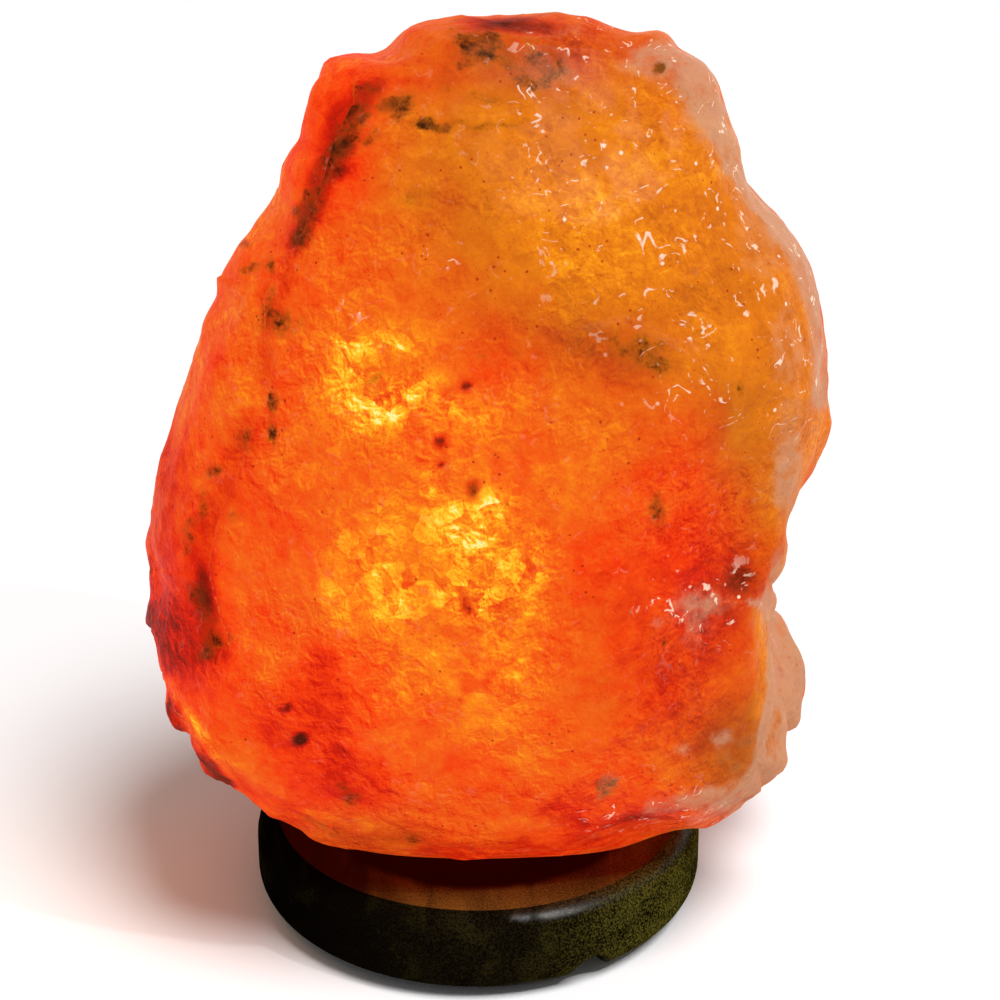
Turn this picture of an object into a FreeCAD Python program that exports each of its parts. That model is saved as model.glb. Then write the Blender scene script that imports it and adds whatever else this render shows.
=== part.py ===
# Salt crystal lamp: a hewn block of rock salt on a turned wooden base, lit from inside by a small bulb.
#
# Frame: millimetres, +Z up, origin on the bench under the middle of the base, front towards -Y.
# Every piece has its own origin: z = 0 is its lowest seat, and its Placement sets it in the lamp.

import FreeCAD, Part
import Sketcher
import math
import os
import random
import re

from FreeCAD import Placement, Rotation, Vector

# ---------------------------------------------------------------- driving sizes

SIZES = {
    # wooden base
    "base_diameter": 115.0,
    "base_thickness": 22.0,
    "base_rounding": 7.2,
    "recess_diameter": 104.0,
    "recess_depth": 1.0,
    "holder_hole_diameter": 42.0,
    "plate_pocket_depth": 8.0,
    "plate_play": 1.5,
    "channel_width": 12.5,
    "channel_straight": 0.75,
    "channel_bearing": -60.0,
    # pads under the base
    "pad_diameter": 10.0,
    "pad_thickness": 1.5,
    "pad_circle": 45.0,
    "pad_bearing": -15.0,
    "pad_count": 4,
    # wood screws and the nylon plugs that they bite
    "screw_circle": 37.0,
    "screw_bearing": 90.0,
    "screw_count": 3,
    "screw_diameter": 4.5,
    "screw_head_diameter": 9.0,
    "screw_length": 40.0,
    "screw_point": 5.0,
    "screw_sink": 0.5,
    "screw_play": 0.3,
    "plug_diameter": 8.0,
    "plug_length": 20.0,
    "plug_chamfer": 1.2,
    "plug_spare": 2.0,
    # salt crystal, whose top is the lamp's
    "salt_width": 170.0,
    "salt_depth": 128.0,
    "lamp_height": 230.0,
    "sawn_left": 41.0,
    "sawn_right": 47.0,
    "sawn_front": 27.0,
    "sawn_back": 45.0,
    "bulb_bore_diameter": 44.0,
    "bulb_bore_depth": 102.0,
    "bore_point_angle": 118.0,
    "chip_count": 18,
    "chip_depth": 1.0,
    # lampholder plate, nipple and nut
    "plate_diameter": 56.0,
    "plate_thickness": 1.0,
    "plate_lip": 2.5,
    "plate_edge": 0.8,
    "vent_diameter": 5.0,
    "vent_circle": 16.5,
    "nipple_diameter": 10.0,
    "nipple_bore": 7.2,
    "nipple_tail": 4.5,
    "nipple_head": 5.5,
    "nut_flats": 14.0,
    "nut_thickness": 3.0,
    # spring clips
    "clip_count": 3,
    "clip_bearing": 30.0,
    "clip_width": 8.0,
    "clip_thickness": 0.5,
    "clip_play": 0.3,
    "clip_hook_length": 4.6,
    "clip_flare": 0.9,
    "clip_gap": 0.3,
    "clip_apex_height": 15.0,
    "clip_tip_inset": 2.8,
    "clip_tip_height": 29.0,
    "clip_bend": 0.8,
    "clip_crown": 9.0,
    # lampholder shell
    "socket_diameter": 27.0,
    "cap_height": 14.0,
    "cap_floor": 3.0,
    "cap_wall": 1.8,
    "cap_rounding": 1.5,
    "flute_count": 12,
    "flute_radius": 0.9,
    "flute_length": 9.0,
    "sleeve_height": 38.5,
    "sleeve_wall": 1.5,
    "sleeve_lip": 2.0,
    "sleeve_mouth": 17.6,
    "sleeve_rounding": 1.0,
    # contact block and contacts
    "flange_ledge": 0.6,
    "flange_height": 2.5,
    "block_height": 17.5,
    "block_tail": 5.5,
    "block_tail_diameter": 21.0,
    "terminal_spacing": 13.0,
    "terminal_diameter": 2.5,
    "terminal_depth": 8.0,
    "terminal_head": 4.8,
    "terminal_head_height": 1.8,
    "shell_bore": 14.5,
    "shell_wall": 0.4,
    "shell_height": 17.0,
    "shell_window": 7.0,
    "contact_width": 3.0,
    "contact_thickness": 0.4,
    "contact_slot_depth": 1.0,
    "contact_slot_play": 0.5,
    "contact_foot": 9.0,
    "contact_step": 2.5,
    "contact_slope": 0.37,
    "contact_rise": 2.1,
    "contact_air": 0.3,
    # bulb
    "bulb_diameter": 28.0,
    "bulb_length": 65.0,
    "glass_wall": 0.8,
    "neck_diameter": 13.0,
    "neck_start": 10.0,
    "neck_end": 22.0,
    "bulb_cap_wall": 0.4,
    "bulb_cap_height": 16.5,
    "bulb_cap_flare": 0.5,
    "flare_height": 1.8,
    "button_diameter": 5.2,
    "button_height": 1.2,
    "insulator_height": 1.8,
    "insulator_spigot": 0.6,
    "stem_diameter": 3.6,
    "stem_length": 23.0,
    "stem_flare_rise": 5.0,
    "filament_height": 47.0,
    "filament_span": 17.0,
    "filament_diameter": 0.6,
    "wire_diameter": 0.7,
    "wire_spread": 2.0,
    "wire_straight": 3.0,
    "wire_seal": 3.0,
    "hook_bearing": 60.0,
}

# Levels above the bench and sizes that follow from the driving ones
DERIVED = {
    "base_top": "pad_thickness + base_thickness",
    "seat": "base_top - recess_depth",
    "salt_height": "lamp_height - seat",
    "ceiling": "pad_thickness + plate_pocket_depth",
    "plate_underside": "ceiling - plate_thickness",
    "plate_pocket_diameter": "plate_diameter + 2 * plate_play",
    "screw_head_height": "(screw_head_diameter - screw_diameter) / 2",
    "screw_hole_diameter": "screw_diameter + 2 * screw_play",
    "countersink_diameter": "screw_head_diameter + 2 * screw_sink",
    "clip_apex": "sqrt((holder_hole_diameter / 2 - clip_gap)^2 - (clip_width / 2)^2)",
    "clip_root": "clip_apex - clip_flare",
    "cap_top": "ceiling + cap_height",
    "sleeve_bore": "socket_diameter - 2 * sleeve_wall",
    "flange_diameter": "sleeve_bore + 2 * flange_ledge",
    "block_top": "cap_top + block_height",
    "bulb_foot": "block_top + contact_rise + contact_air",
    "bulb_cap_bore": "neck_diameter",
    "bulb_cap_diameter": "neck_diameter + 2 * bulb_cap_wall",
    "insulator_top": "button_height + insulator_height",
    "stem_top": "neck_start + stem_length",
}

# The crystal's stations: its level as a share of the height, the reach to the left, right, front and back
# as shares of half the width or depth, and how full its four corners are (1 is an ellipse).
STATIONS = [
    # level  left   right  front  back   corners: front-left, front-right, back-right, back-left
    (0.040, 0.660, 0.810, 0.610, 0.830, 1.10, 1.12, 1.04, 1.00),
    (0.095, 0.790, 0.905, 0.780, 0.905, 1.10, 1.14, 1.02, 1.04),
    (0.160, 0.885, 0.905, 0.890, 0.955, 1.10, 1.12, 0.98, 1.08),
    (0.240, 0.935, 0.880, 0.955, 0.985, 1.07, 1.12, 0.98, 1.05),
    (0.335, 0.950, 0.860, 0.985, 1.000, 1.06, 1.10, 1.04, 0.98),
    (0.435, 0.925, 0.905, 0.970, 1.000, 1.06, 1.10, 1.06, 0.97),
    (0.535, 0.860, 0.975, 0.920, 0.970, 1.05, 1.08, 1.00, 1.03),
    (0.640, 0.770, 0.975, 0.845, 0.905, 1.06, 1.08, 0.96, 1.10),
    (0.725, 0.675, 0.930, 0.735, 0.830, 1.07, 1.05, 1.00, 1.08),
    (0.810, 0.560, 0.765, 0.625, 0.720, 1.08, 1.05, 1.06, 1.00),
    (0.890, 0.480, 0.695, 0.485, 0.595, 1.08, 1.05, 1.00, 0.98),
    (0.940, 0.425, 0.635, 0.360, 0.500, 1.08, 1.05, 0.98, 1.02),
    (0.973, 0.235, 0.530, 0.235, 0.375, 1.05, 1.05, 1.00, 1.00),
    (1.000, 0.070, 0.280, 0.110, 0.220, 1.00, 1.00, 1.00, 1.00),
]

# The corners of the sawn face, the seed of the chips, and how a lump's flakes are laid: as many round it,
# at these heights as shares of its half height.
SAWN_CORNERS = (1.12, 1.12, 1.00, 1.00)
CHIP_SEED = 7
LUMP_FLAKES = 9
LUMP_LEVELS = (-0.97, -0.75, -0.3, 0.25, 0.7, 0.96)

# Lumps that stand out of the block: the middle (x, y as shares of half the width and depth, level as a
# share of the height) and the half lengths, as the same shares.
LUMPS = {
    "rear_right_foot": ((0.67, 0.34, 0.125), (0.34, 0.47, 0.120)),
    "right_shoulder": ((0.71, 0.25, 0.520), (0.33, 0.47, 0.150)),
    "left_flank": ((-0.68, 0.10, 0.280), (0.33, 0.53, 0.175)),
}

# Flats where pieces split off: the bearing of each flat's normal, its tilt above the horizon, both in
# degrees, and how deep the flat bites into the block.
FLATS = {
    "front_left": (-122.0, 10.0, 4.0),
    "front_right": (-58.0, 2.0, 5.5),
    "brow": (-84.0, 40.0, 5.0),
    "left_slope": (168.0, 26.0, 3.0),
    "right_slope": (8.0, 44.0, 2.5),
    "under_right": (-38.0, -34.0, 5.0),
    "under_left": (-146.0, -30.0, 4.0),
    "back": (98.0, 6.0, 4.5),
    "back_right": (52.0, 20.0, 7.0),
    "back_left": (140.0, 18.0, 6.0),
    "back_brow": (80.0, 48.0, 6.0),
    "crown": (-60.0, 78.0, 1.6),
}

# Lengths closer than this many millimetres, and volumes closer than as many cubic millimetres, are the same.
NEAR = 1e-4

# ---------------------------------------------------------------- the document and its sheet

DOC = FreeCAD.newDocument("salt_crystal_lamp")
SHEET = DOC.addObject("Spreadsheet::Sheet", "Sizes")


def fill_sheet():
    """Write each driving size into a cell of its own, under its name."""
    for row, (name, size) in enumerate(SIZES.items(), start=1):
        SHEET.set(f"A{row}", name)
        SHEET.set(f"B{row}", str(size))
        SHEET.setAlias(f"B{row}", name)
    DOC.recompute()


def formula(text):
    """Turn a formula on size names into one that refers to the cells of the sheet."""

    def cell(match):
        name = match.group(0)
        if name in DERIVED:
            return "(" + formula(DERIVED[name]) + ")"
        return "Sizes." + name if name in SIZES else name

    return re.sub(r"[a-z]\w*", cell, text)


def value(text):
    """The number that a formula on size names comes to."""
    return float(SHEET.evalExpression(formula(text)))


def bind(thing, prop, text):
    """Tie one property of a document object to a formula on size names."""
    thing.setExpression(prop, formula(text))


# ---------------------------------------------------------------- shared steps


def place(thing, level="0", bearing="0"):
    """Stand a sub-part at a level above the bench and turn it about the lamp's axis."""
    thing.Placement = Placement(Vector(), Rotation(Vector(0, 0, 1), 0))
    bind(thing, "Placement.Base.z", level)
    bind(thing, "Placement.Rotation.Angle", bearing)


def new_body(label, level="0", bearing="0"):
    """Start a sub-part that is built feature by feature."""
    body = DOC.addObject("PartDesign::Body", label)
    place(body, level, bearing)
    return body


def origin(body, role):
    """One of a body's own origin planes or axes."""
    return [item for item in body.Origin.OriginFeatures if item.Role == role][0]


def sketch_on(body, role, label, lift=None, turn=None):
    """A sketch on an origin plane, lifted along the plane's normal or turned about its second axis."""
    sketch = body.newObject("Sketcher::SketchObject", label)
    sketch.AttachmentSupport = [(origin(body, role), "")]
    sketch.MapMode = "FlatFace"
    if lift:
        bind(sketch, "AttachmentOffset.Base.z", lift)
    if turn:
        sketch.AttachmentOffset = Placement(Vector(), Rotation(Vector(0, 1, 0), value(turn)))
    return sketch


def fix_point(sketch, line, end, x, y):
    """Hold one end of a line, or a circle's centre, at two formulas."""
    for kind, axis, text in (("DistanceX", -2, x), ("DistanceY", -1, y)):
        distance = value(text)
        if abs(distance) < NEAR:
            sketch.addConstraint(Sketcher.Constraint("PointOnObject", line, end, axis))
        else:
            index = sketch.addConstraint(Sketcher.Constraint(kind, -1, 1, line, end, distance))
            bind(sketch, f"Constraints[{index}]", text)


def draw_outline(sketch, corners):
    """A closed outline of straight lines, each corner held at its two formulas."""
    spots = [Vector(value(x), value(y), 0) for x, y in corners]
    first = sketch.GeometryCount
    for start, end in zip(spots, spots[1:] + spots[:1]):
        sketch.addGeometry(Part.LineSegment(start, end))
    for step, (x, y) in enumerate(corners):
        following = first + (step + 1) % len(corners)
        sketch.addConstraint(Sketcher.Constraint("Coincident", first + step, 2, following, 1))
        fix_point(sketch, first + step, 1, x, y)


def draw_circle(sketch, diameter, x="0", y="0"):
    """A circle of a given diameter round a point."""
    centre = Vector(value(x), value(y), 0)
    circle = sketch.addGeometry(Part.Circle(centre, Vector(0, 0, 1), value(diameter) / 2))
    fix_point(sketch, circle, 3, x, y)
    index = sketch.addConstraint(Sketcher.Constraint("Diameter", circle, value(diameter)))
    bind(sketch, f"Constraints[{index}]", diameter)


def draw_axis(sketch, x):
    """A construction line across the sketch, parallel to its second axis, for a piece off the middle."""
    spot = value(x)
    line = sketch.addGeometry(Part.LineSegment(Vector(spot, 0, 0), Vector(spot, 1, 0)), True)
    fix_point(sketch, line, 1, x, "0")
    sketch.addConstraint(Sketcher.Constraint("Vertical", line))


def revolve(body, sketch, axis="V_Axis"):
    """Turn a profile all the way round."""
    turned = body.newObject("PartDesign::Revolution", sketch.Label + "_turned")
    turned.Profile = (sketch, [""])
    turned.ReferenceAxis = (sketch, [axis])
    turned.Angle = 360
    DOC.recompute()
    return turned


def pad(body, sketch, length, midplane=False):
    """Extrude a sketch by a formula."""
    block = body.newObject("PartDesign::Pad", sketch.Label + "_pad")
    block.Profile = (sketch, [""])
    block.Midplane = midplane
    bind(block, "Length", length)
    DOC.recompute()
    return block


def pocket(body, sketch, length, reverse=False, midplane=False):
    """Cut a sketch into the body, and make sure that the cut took something away."""
    before = body.Shape.Volume
    cut = body.newObject("PartDesign::Pocket", sketch.Label + "_pocket")
    cut.Profile = (sketch, [""])
    cut.Reversed = reverse
    cut.Midplane = midplane
    bind(cut, "Length", length)
    DOC.recompute()
    if cut.Shape.Volume >= before - NEAR:
        raise ValueError(f"{cut.Label} cuts nothing")
    return cut


def repeat(body, feature, count, angle="360"):
    """Copy a feature round the body's axis; each copy stands or cuts like the first."""
    pattern = body.newObject("PartDesign::PolarPattern", feature.Label + "_pattern")
    pattern.Originals = [feature]
    pattern.Axis = (origin(body, "Z_Axis"), [""])
    bind(pattern, "Angle", angle)
    bind(pattern, "Occurrences", count)
    body.Tip = pattern
    DOC.recompute()
    return pattern


def edges_where(shape, test):
    """The names of the edges whose middle point, and the edge itself, pass a test."""
    names = []
    for number, edge in enumerate(shape.Edges, start=1):
        middle = edge.valueAt((edge.FirstParameter + edge.LastParameter) / 2)
        if test(edge, middle):
            names.append(f"Edge{number}")
    return names


def ring_edges(shape, radius, level):
    """The names of the edges that lie on a circle round the axis."""

    def on_ring(edge, middle):
        reach = math.hypot(middle.x, middle.y)
        return abs(reach - radius) < NEAR and abs(middle.z - level) < NEAR

    return edges_where(shape, on_ring)


def cross_edges(shape, spots):
    """The names of the straight edges along Y that cross the XZ plane at given points."""

    def at_spot(edge, middle):
        straight = abs(edge.tangentAt(edge.FirstParameter).y) > 0.99
        return straight and any(math.hypot(middle.x - x, middle.z - z) < NEAR for x, z in spots)

    return edges_where(shape, at_spot)


def round_edges(body, feature, names, radius):
    """Round some edges of a feature."""
    if not names:
        raise ValueError(f"no edge of {feature.Label} to round")
    rounding = body.newObject("PartDesign::Fillet", feature.Label + "_rounding")
    rounding.Base = (feature, names)
    bind(rounding, "Radius", radius)
    DOC.recompute()
    return rounding


def turned_piece(label, corners, level):
    """A piece turned on the lathe or moulded round: its half profile, carried round the axis."""
    body = new_body(label, level)
    profile = sketch_on(body, "XZ_Plane", label + "_profile")
    draw_outline(profile, corners)
    return body, revolve(body, profile)


# ---------------------------------------------------------------- wooden base, pads, screws and plugs


def make_wood_base():
    """A turned disc with bullnose edges, hollowed for the crystal, the lampholder, its plate and the cord."""
    body = new_body("wood_base", "pad_thickness")
    round_blank = sketch_on(body, "XY_Plane", "base_blank")
    draw_circle(round_blank, "base_diameter")
    blank = pad(body, round_blank, "base_thickness")
    radius = value("base_diameter") / 2
    rims = ring_edges(blank.Shape, radius, 0) + ring_edges(blank.Shape, radius, value("base_thickness"))
    round_edges(body, blank, rims, "base_rounding")

    recess = sketch_on(body, "XY_Plane", "crystal_recess", lift="base_thickness")
    draw_circle(recess, "recess_diameter")
    pocket(body, recess, "recess_depth")

    hole = sketch_on(body, "XY_Plane", "holder_hole")
    draw_circle(hole, "holder_hole_diameter")
    pocket(body, hole, "base_thickness", reverse=True)

    plate_pocket = sketch_on(body, "XY_Plane", "plate_pocket")
    draw_circle(plate_pocket, "plate_pocket_diameter")
    pocket(body, plate_pocket, "plate_pocket_depth", reverse=True)

    cut_cord_channel(body)
    cut_screw_holes(body)
    return body


def cut_cord_channel(body):
    """An arched channel from the middle of the underside out through the rim, where the cord passes."""
    turn = "channel_bearing + 90"
    channel = sketch_on(body, "XZ_Plane", "cord_channel", turn=turn)
    draw_circle(channel, "channel_width", "0", "channel_straight")
    pocket(body, channel, "base_diameter", reverse=True)


def cut_screw_holes(body):
    """Countersunk clearance holes from below."""
    before = body.Shape.Volume
    centre = sketch_on(body, "XY_Plane", "screw_hole")
    turn = "screw_bearing"
    draw_circle(centre, "screw_hole_diameter", f"screw_circle * cos({turn})", f"screw_circle * sin({turn})")
    DOC.recompute()
    hole = body.newObject("PartDesign::Hole", "countersunk_hole")
    hole.Profile = (centre, [""])
    DOC.recompute()
    hole.DepthType = "ThroughAll"
    hole.HoleCutType = "Countersink"
    hole.HoleCutCountersinkAngle = 90
    hole.Reversed = True
    bind(hole, "Diameter", "screw_hole_diameter")
    bind(hole, "HoleCutDiameter", "countersink_diameter")
    DOC.recompute()
    repeat(body, hole, "screw_count")
    if body.Shape.Volume >= before - NEAR:
        raise ValueError("the screw holes cut nothing")


def make_base_feet():
    """Soft round pads that carry the base just clear of the bench."""
    body = new_body("base_feet", "0", "pad_bearing")
    disc = sketch_on(body, "XY_Plane", "pad_disc")
    draw_circle(disc, "pad_diameter", "pad_circle", "0")
    repeat(body, pad(body, disc, "pad_thickness"), "pad_count")
    return body


def make_base_screws():
    """Countersunk wood screws from below, through the wood and into the crystal's plugs."""
    body = new_body("base_screws", "pad_thickness + screw_sink", "screw_bearing")
    profile = sketch_on(body, "XZ_Plane", "screw_profile")
    draw_axis(profile, "screw_circle")
    draw_outline(
        profile,
        [
            ("screw_circle", "0"),
            ("screw_circle + screw_head_diameter / 2", "0"),
            ("screw_circle + screw_diameter / 2", "screw_head_height"),
            ("screw_circle + screw_diameter / 2", "screw_length - screw_point"),
            ("screw_circle", "screw_length"),
        ],
    )
    repeat(body, revolve(body, profile, "Axis0"), "screw_count")
    return body


def make_wall_plugs():
    """Nylon plugs set into the sawn face of the crystal."""
    body = new_body("wall_plugs", "seat", "screw_bearing")
    profile = sketch_on(body, "XZ_Plane", "plug_profile")
    draw_axis(profile, "screw_circle")
    draw_outline(
        profile,
        [
            ("screw_circle + screw_diameter / 2", "0"),
            ("screw_circle + plug_diameter / 2", "0"),
            ("screw_circle + plug_diameter / 2", "plug_length - plug_chamfer"),
            ("screw_circle + plug_diameter / 2 - plug_chamfer", "plug_length"),
            ("screw_circle + screw_diameter / 2", "plug_length"),
        ],
    )
    repeat(body, revolve(body, profile, "Axis0"), "screw_count")
    return body


# ---------------------------------------------------------------- salt crystal


def station_curve(level, reaches, corners):
    """The smooth closed outline of one station, through eight points from the right by way of the back."""
    left, right, front, back = reaches
    front_left, front_right, back_right, back_left = corners
    diagonal = math.sqrt(0.5)
    spread = [
        (right, 0),
        (right * back_right * diagonal, back * back_right * diagonal),
        (0, back),
        (-left * back_left * diagonal, back * back_left * diagonal),
        (-left, 0),
        (-left * front_left * diagonal, -front * front_left * diagonal),
        (0, -front),
        (right * front_right * diagonal, -front * front_right * diagonal),
    ]
    curve = Part.BSplineCurve()
    shares = [step / len(spread) for step in range(len(spread) + 1)]
    points = [Vector(x, y, level) for x, y in spread]
    curve.interpolate(Points=points, Parameters=shares, PeriodicFlag=True)
    return curve


def chip_corners(curve, shift, draw):
    """Corners of the chipped flakes along one station: evenly stepped, then knocked in or out a little."""
    count = int(value("chip_count"))
    corners = []
    for step in range(count):
        point = curve.value((step + shift) / count)
        outwards = Vector(point.x, point.y, 0).normalize()
        corners.append(point + outwards * draw.uniform(-1, 1) * value("chip_depth"))
    return corners


def salt_rings():
    """The rings of flake corners, from the sawn face up; every other ring is turned by half a flake."""
    half_width = value("salt_width") / 2
    half_depth = value("salt_depth") / 2
    sawn_reach = [value(name) for name in ("sawn_left", "sawn_right", "sawn_front", "sawn_back")]
    draw = random.Random(CHIP_SEED)
    rings = [chip_corners(station_curve(0, sawn_reach, SAWN_CORNERS), 0, draw)]
    for number, (level, left, right, front, back, *corners) in enumerate(STATIONS, start=1):
        reach = (left * half_width, right * half_width, front * half_depth, back * half_depth)
        curve = station_curve(level * value("salt_height"), reach, corners)
        rings.append(chip_corners(curve, (number % 2) / 2, draw))
    return rings


def flaked_solid(rings):
    """A closed solid of flat flakes between rings of corners that are turned against each other."""
    flakes = [Part.makePolygon(rings[0] + rings[0][:1]), Part.makePolygon(rings[-1] + rings[-1][:1])]
    for number, (lower, upper) in enumerate(zip(rings, rings[1:])):
        ahead = 1 - number % 2
        for step in range(len(lower)):
            following = (step + 1) % len(lower)
            peak = upper[step] if ahead else upper[following]
            trough = lower[following] if ahead else lower[step]
            for corners in (
                (lower[step], lower[following], peak),
                (upper[following], upper[step], trough),
            ):
                flakes.append(Part.makePolygon([*corners, corners[0]]))
    solid = Part.Solid(Part.Shell([Part.Face(flake) for flake in flakes]))
    return solid if solid.Volume > 0 else solid.reversed()


def make_salt_blank(rings):
    """The block's main form, hewn into flat flakes between its stations."""
    blank = DOC.addObject("Part::Feature", "salt_blank")
    blank.Shape = flaked_solid(rings)
    return blank


def make_lump(name, middle, reach):
    """A rounded lump, flaked like the block, that stands out of its side."""
    scale = Vector(value("salt_width") / 2, value("salt_depth") / 2, value("salt_height"))
    count = LUMP_FLAKES
    rings = []
    for row, rise in enumerate(LUMP_LEVELS):
        width = math.sqrt(1 - rise**2)
        ring = []
        for step in range(count):
            turn = 2 * math.pi * (step + (row % 2) / 2) / count
            across = (middle[0] + reach[0] * width * math.cos(turn)) * scale.x
            along = (middle[1] + reach[1] * width * math.sin(turn)) * scale.y
            ring.append(Vector(across, along, (middle[2] + reach[2] * rise) * scale.z))
        rings.append(ring)
    lump = DOC.addObject("Part::Feature", name)
    lump.Shape = flaked_solid(rings)
    return lump


def make_flat(name, rings, bearing, tilt, bite):
    """A slab that lies on one split face and takes away all that stands proud of it."""
    turn, rise = math.radians(bearing), math.radians(tilt)
    out = Vector(math.cos(rise) * math.cos(turn), math.cos(rise) * math.sin(turn), math.sin(rise))
    furthest = max(out.dot(corner) for ring in rings for corner in ring)
    slab = DOC.addObject("Part::Box", name)
    for side in ("Length", "Width", "Height"):
        bind(slab, side, "2 * salt_height")
    facing = Rotation(Vector(0, 0, 1), out)
    corner = facing.multVec(Vector(-value("salt_height"), -value("salt_height"), 0))
    slab.Placement = Placement(out * (furthest - bite) + corner, facing)
    return slab


def make_salt_holes():
    """The blind bore for the lampholder and bulb, with its drill point, and the holes for the plugs."""
    bore = DOC.addObject("Part::Cylinder", "bulb_bore")
    bind(bore, "Radius", "bulb_bore_diameter / 2")
    bind(bore, "Height", "bulb_bore_depth")
    point = DOC.addObject("Part::Cone", "bulb_bore_point")
    bind(point, "Radius1", "bulb_bore_diameter / 2")
    point.Radius2 = 0
    bind(point, "Height", "bulb_bore_diameter / 2 / tan(bore_point_angle / 2)")
    bind(point, "Placement.Base.z", "bulb_bore_depth")
    holes = [bore, point]
    for number in range(int(value("screw_count"))):
        hole = DOC.addObject("Part::Cylinder", f"plug_hole_{number + 1}")
        turn = f"(screw_bearing + {number} * 360 / screw_count)"
        bind(hole, "Radius", "plug_diameter / 2")
        bind(hole, "Height", "plug_length + plug_spare")
        bind(hole, "Placement.Base.x", f"screw_circle * cos({turn})")
        bind(hole, "Placement.Base.y", f"screw_circle * sin({turn})")
        holes.append(hole)
    cutter = DOC.addObject("Part::MultiFuse", "salt_holes")
    cutter.Shapes = holes
    return cutter


def make_salt_crystal():
    """The hewn block: a flaked form with lumps, split flats, a sawn foot, the bore and the plug holes."""
    rings = salt_rings()
    rough = DOC.addObject("Part::MultiFuse", "salt_rough")
    rough.Shapes = [make_salt_blank(rings)] + [make_lump(name, *lump) for name, lump in LUMPS.items()]
    flats = DOC.addObject("Part::Compound", "salt_flats")
    flats.Links = [make_flat("flat_" + name, rings, *flat) for name, flat in FLATS.items()]
    hewn = DOC.addObject("Part::Cut", "salt_hewn")
    hewn.Base = rough
    hewn.Tool = flats
    crystal = DOC.addObject("Part::Cut", "salt_crystal")
    crystal.Base = hewn
    crystal.Tool = make_salt_holes()
    for step in (rough, hewn, crystal):
        step.Refine = False
    place(crystal, "seat")
    DOC.recompute()
    return crystal


# ---------------------------------------------------------------- lampholder


def make_holder_plate():
    """A stamped disc with a turned-down lip, slots for the spring clips and vent holes."""
    body, disc = turned_piece(
        "holder_plate",
        [
            ("nipple_diameter / 2", "0"),
            ("plate_diameter / 2 - plate_thickness", "0"),
            ("plate_diameter / 2 - plate_thickness", "-plate_lip"),
            ("plate_diameter / 2", "-plate_lip"),
            ("plate_diameter / 2", "plate_thickness"),
            ("nipple_diameter / 2", "plate_thickness"),
        ],
        "plate_underside",
    )
    rim = ring_edges(disc.Shape, value("plate_diameter") / 2, value("plate_thickness"))
    round_edges(body, disc, rim, "plate_edge")

    slot = sketch_on(body, "XY_Plane", "clip_slot")
    half = "(clip_width / 2 + clip_play)"
    inner = "clip_root - clip_thickness - clip_play"
    outer = "clip_root + clip_play"
    draw_outline(slot, [(inner, "-" + half), (outer, "-" + half), (outer, half), (inner, half)])
    slots = pocket(body, slot, "plate_thickness", reverse=True)
    repeat(body, slots, "clip_count")

    vent = sketch_on(body, "XY_Plane", "vent_hole")
    turn = "180 / clip_count"
    draw_circle(vent, "vent_diameter", f"vent_circle * cos({turn})", f"vent_circle * sin({turn})")
    vents = pocket(body, vent, "plate_thickness", reverse=True)
    repeat(body, vents, "clip_count")
    bind(body, "Placement.Rotation.Angle", "clip_bearing")
    return body


def make_spring_clip(number):
    """A leaf spring: hooked under the plate, up through its slot, out to the hole's wall and back in."""
    bearing = f"clip_bearing + {number - 1} * 360 / clip_count"
    body = new_body(f"spring_clip_{number}", "plate_underside", bearing)
    side = sketch_on(body, "XZ_Plane", f"clip_side_{number}")
    hook_end = "clip_root - clip_thickness - clip_hook_length"
    tip = "clip_apex - clip_tip_inset"
    back_of = " - clip_thickness"
    lower = [
        (hook_end, "-clip_play - clip_thickness"),
        ("clip_root", "-clip_play - clip_thickness"),
        ("clip_apex", "clip_apex_height"),
        (tip, "clip_tip_height"),
    ]
    upper = [
        (tip + back_of, "clip_tip_height"),
        ("clip_apex" + back_of, "clip_apex_height"),
        ("clip_root" + back_of, "-clip_play"),
        (hook_end, "-clip_play"),
    ]
    draw_outline(side, lower + upper)
    leaf = pad(body, side, "clip_width", midplane=True)
    bends = [
        ([lower[1]], "clip_bend + clip_thickness"),
        ([upper[2]], "clip_bend"),
        ([lower[2]], "clip_crown"),
        ([upper[1]], "clip_crown - clip_thickness"),
    ]
    for corners, radius in bends:
        spots = [(value(x), value(z)) for x, z in corners]
        leaf = round_edges(body, leaf, cross_edges(leaf.Shape, spots), radius)
    return body


def make_threaded_nipple():
    """The hollow threaded nipple that the cord comes in through."""
    body, _ = turned_piece(
        "threaded_nipple",
        [
            ("nipple_bore / 2", "-nipple_tail"),
            ("nipple_diameter / 2", "-nipple_tail"),
            ("nipple_diameter / 2", "plate_thickness + nipple_head"),
            ("nipple_bore / 2", "plate_thickness + nipple_head"),
        ],
        "plate_underside",
    )
    return body


def make_plate_locknut():
    """A thin hexagon nut that clamps the plate against the lampholder."""
    body = new_body("plate_locknut", "plate_underside - nut_thickness")
    hexagon = sketch_on(body, "XY_Plane", "nut_hexagon")
    corners = []
    for step in range(6):
        turn = f"({60 * step + 30})"
        reach = "nut_flats / 2 / cos(30)"
        corners.append((f"{reach} * cos{turn}", f"{reach} * sin{turn}"))
    draw_outline(hexagon, corners)
    draw_circle(hexagon, "nipple_diameter")
    pad(body, hexagon, "nut_thickness")
    return body


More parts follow.
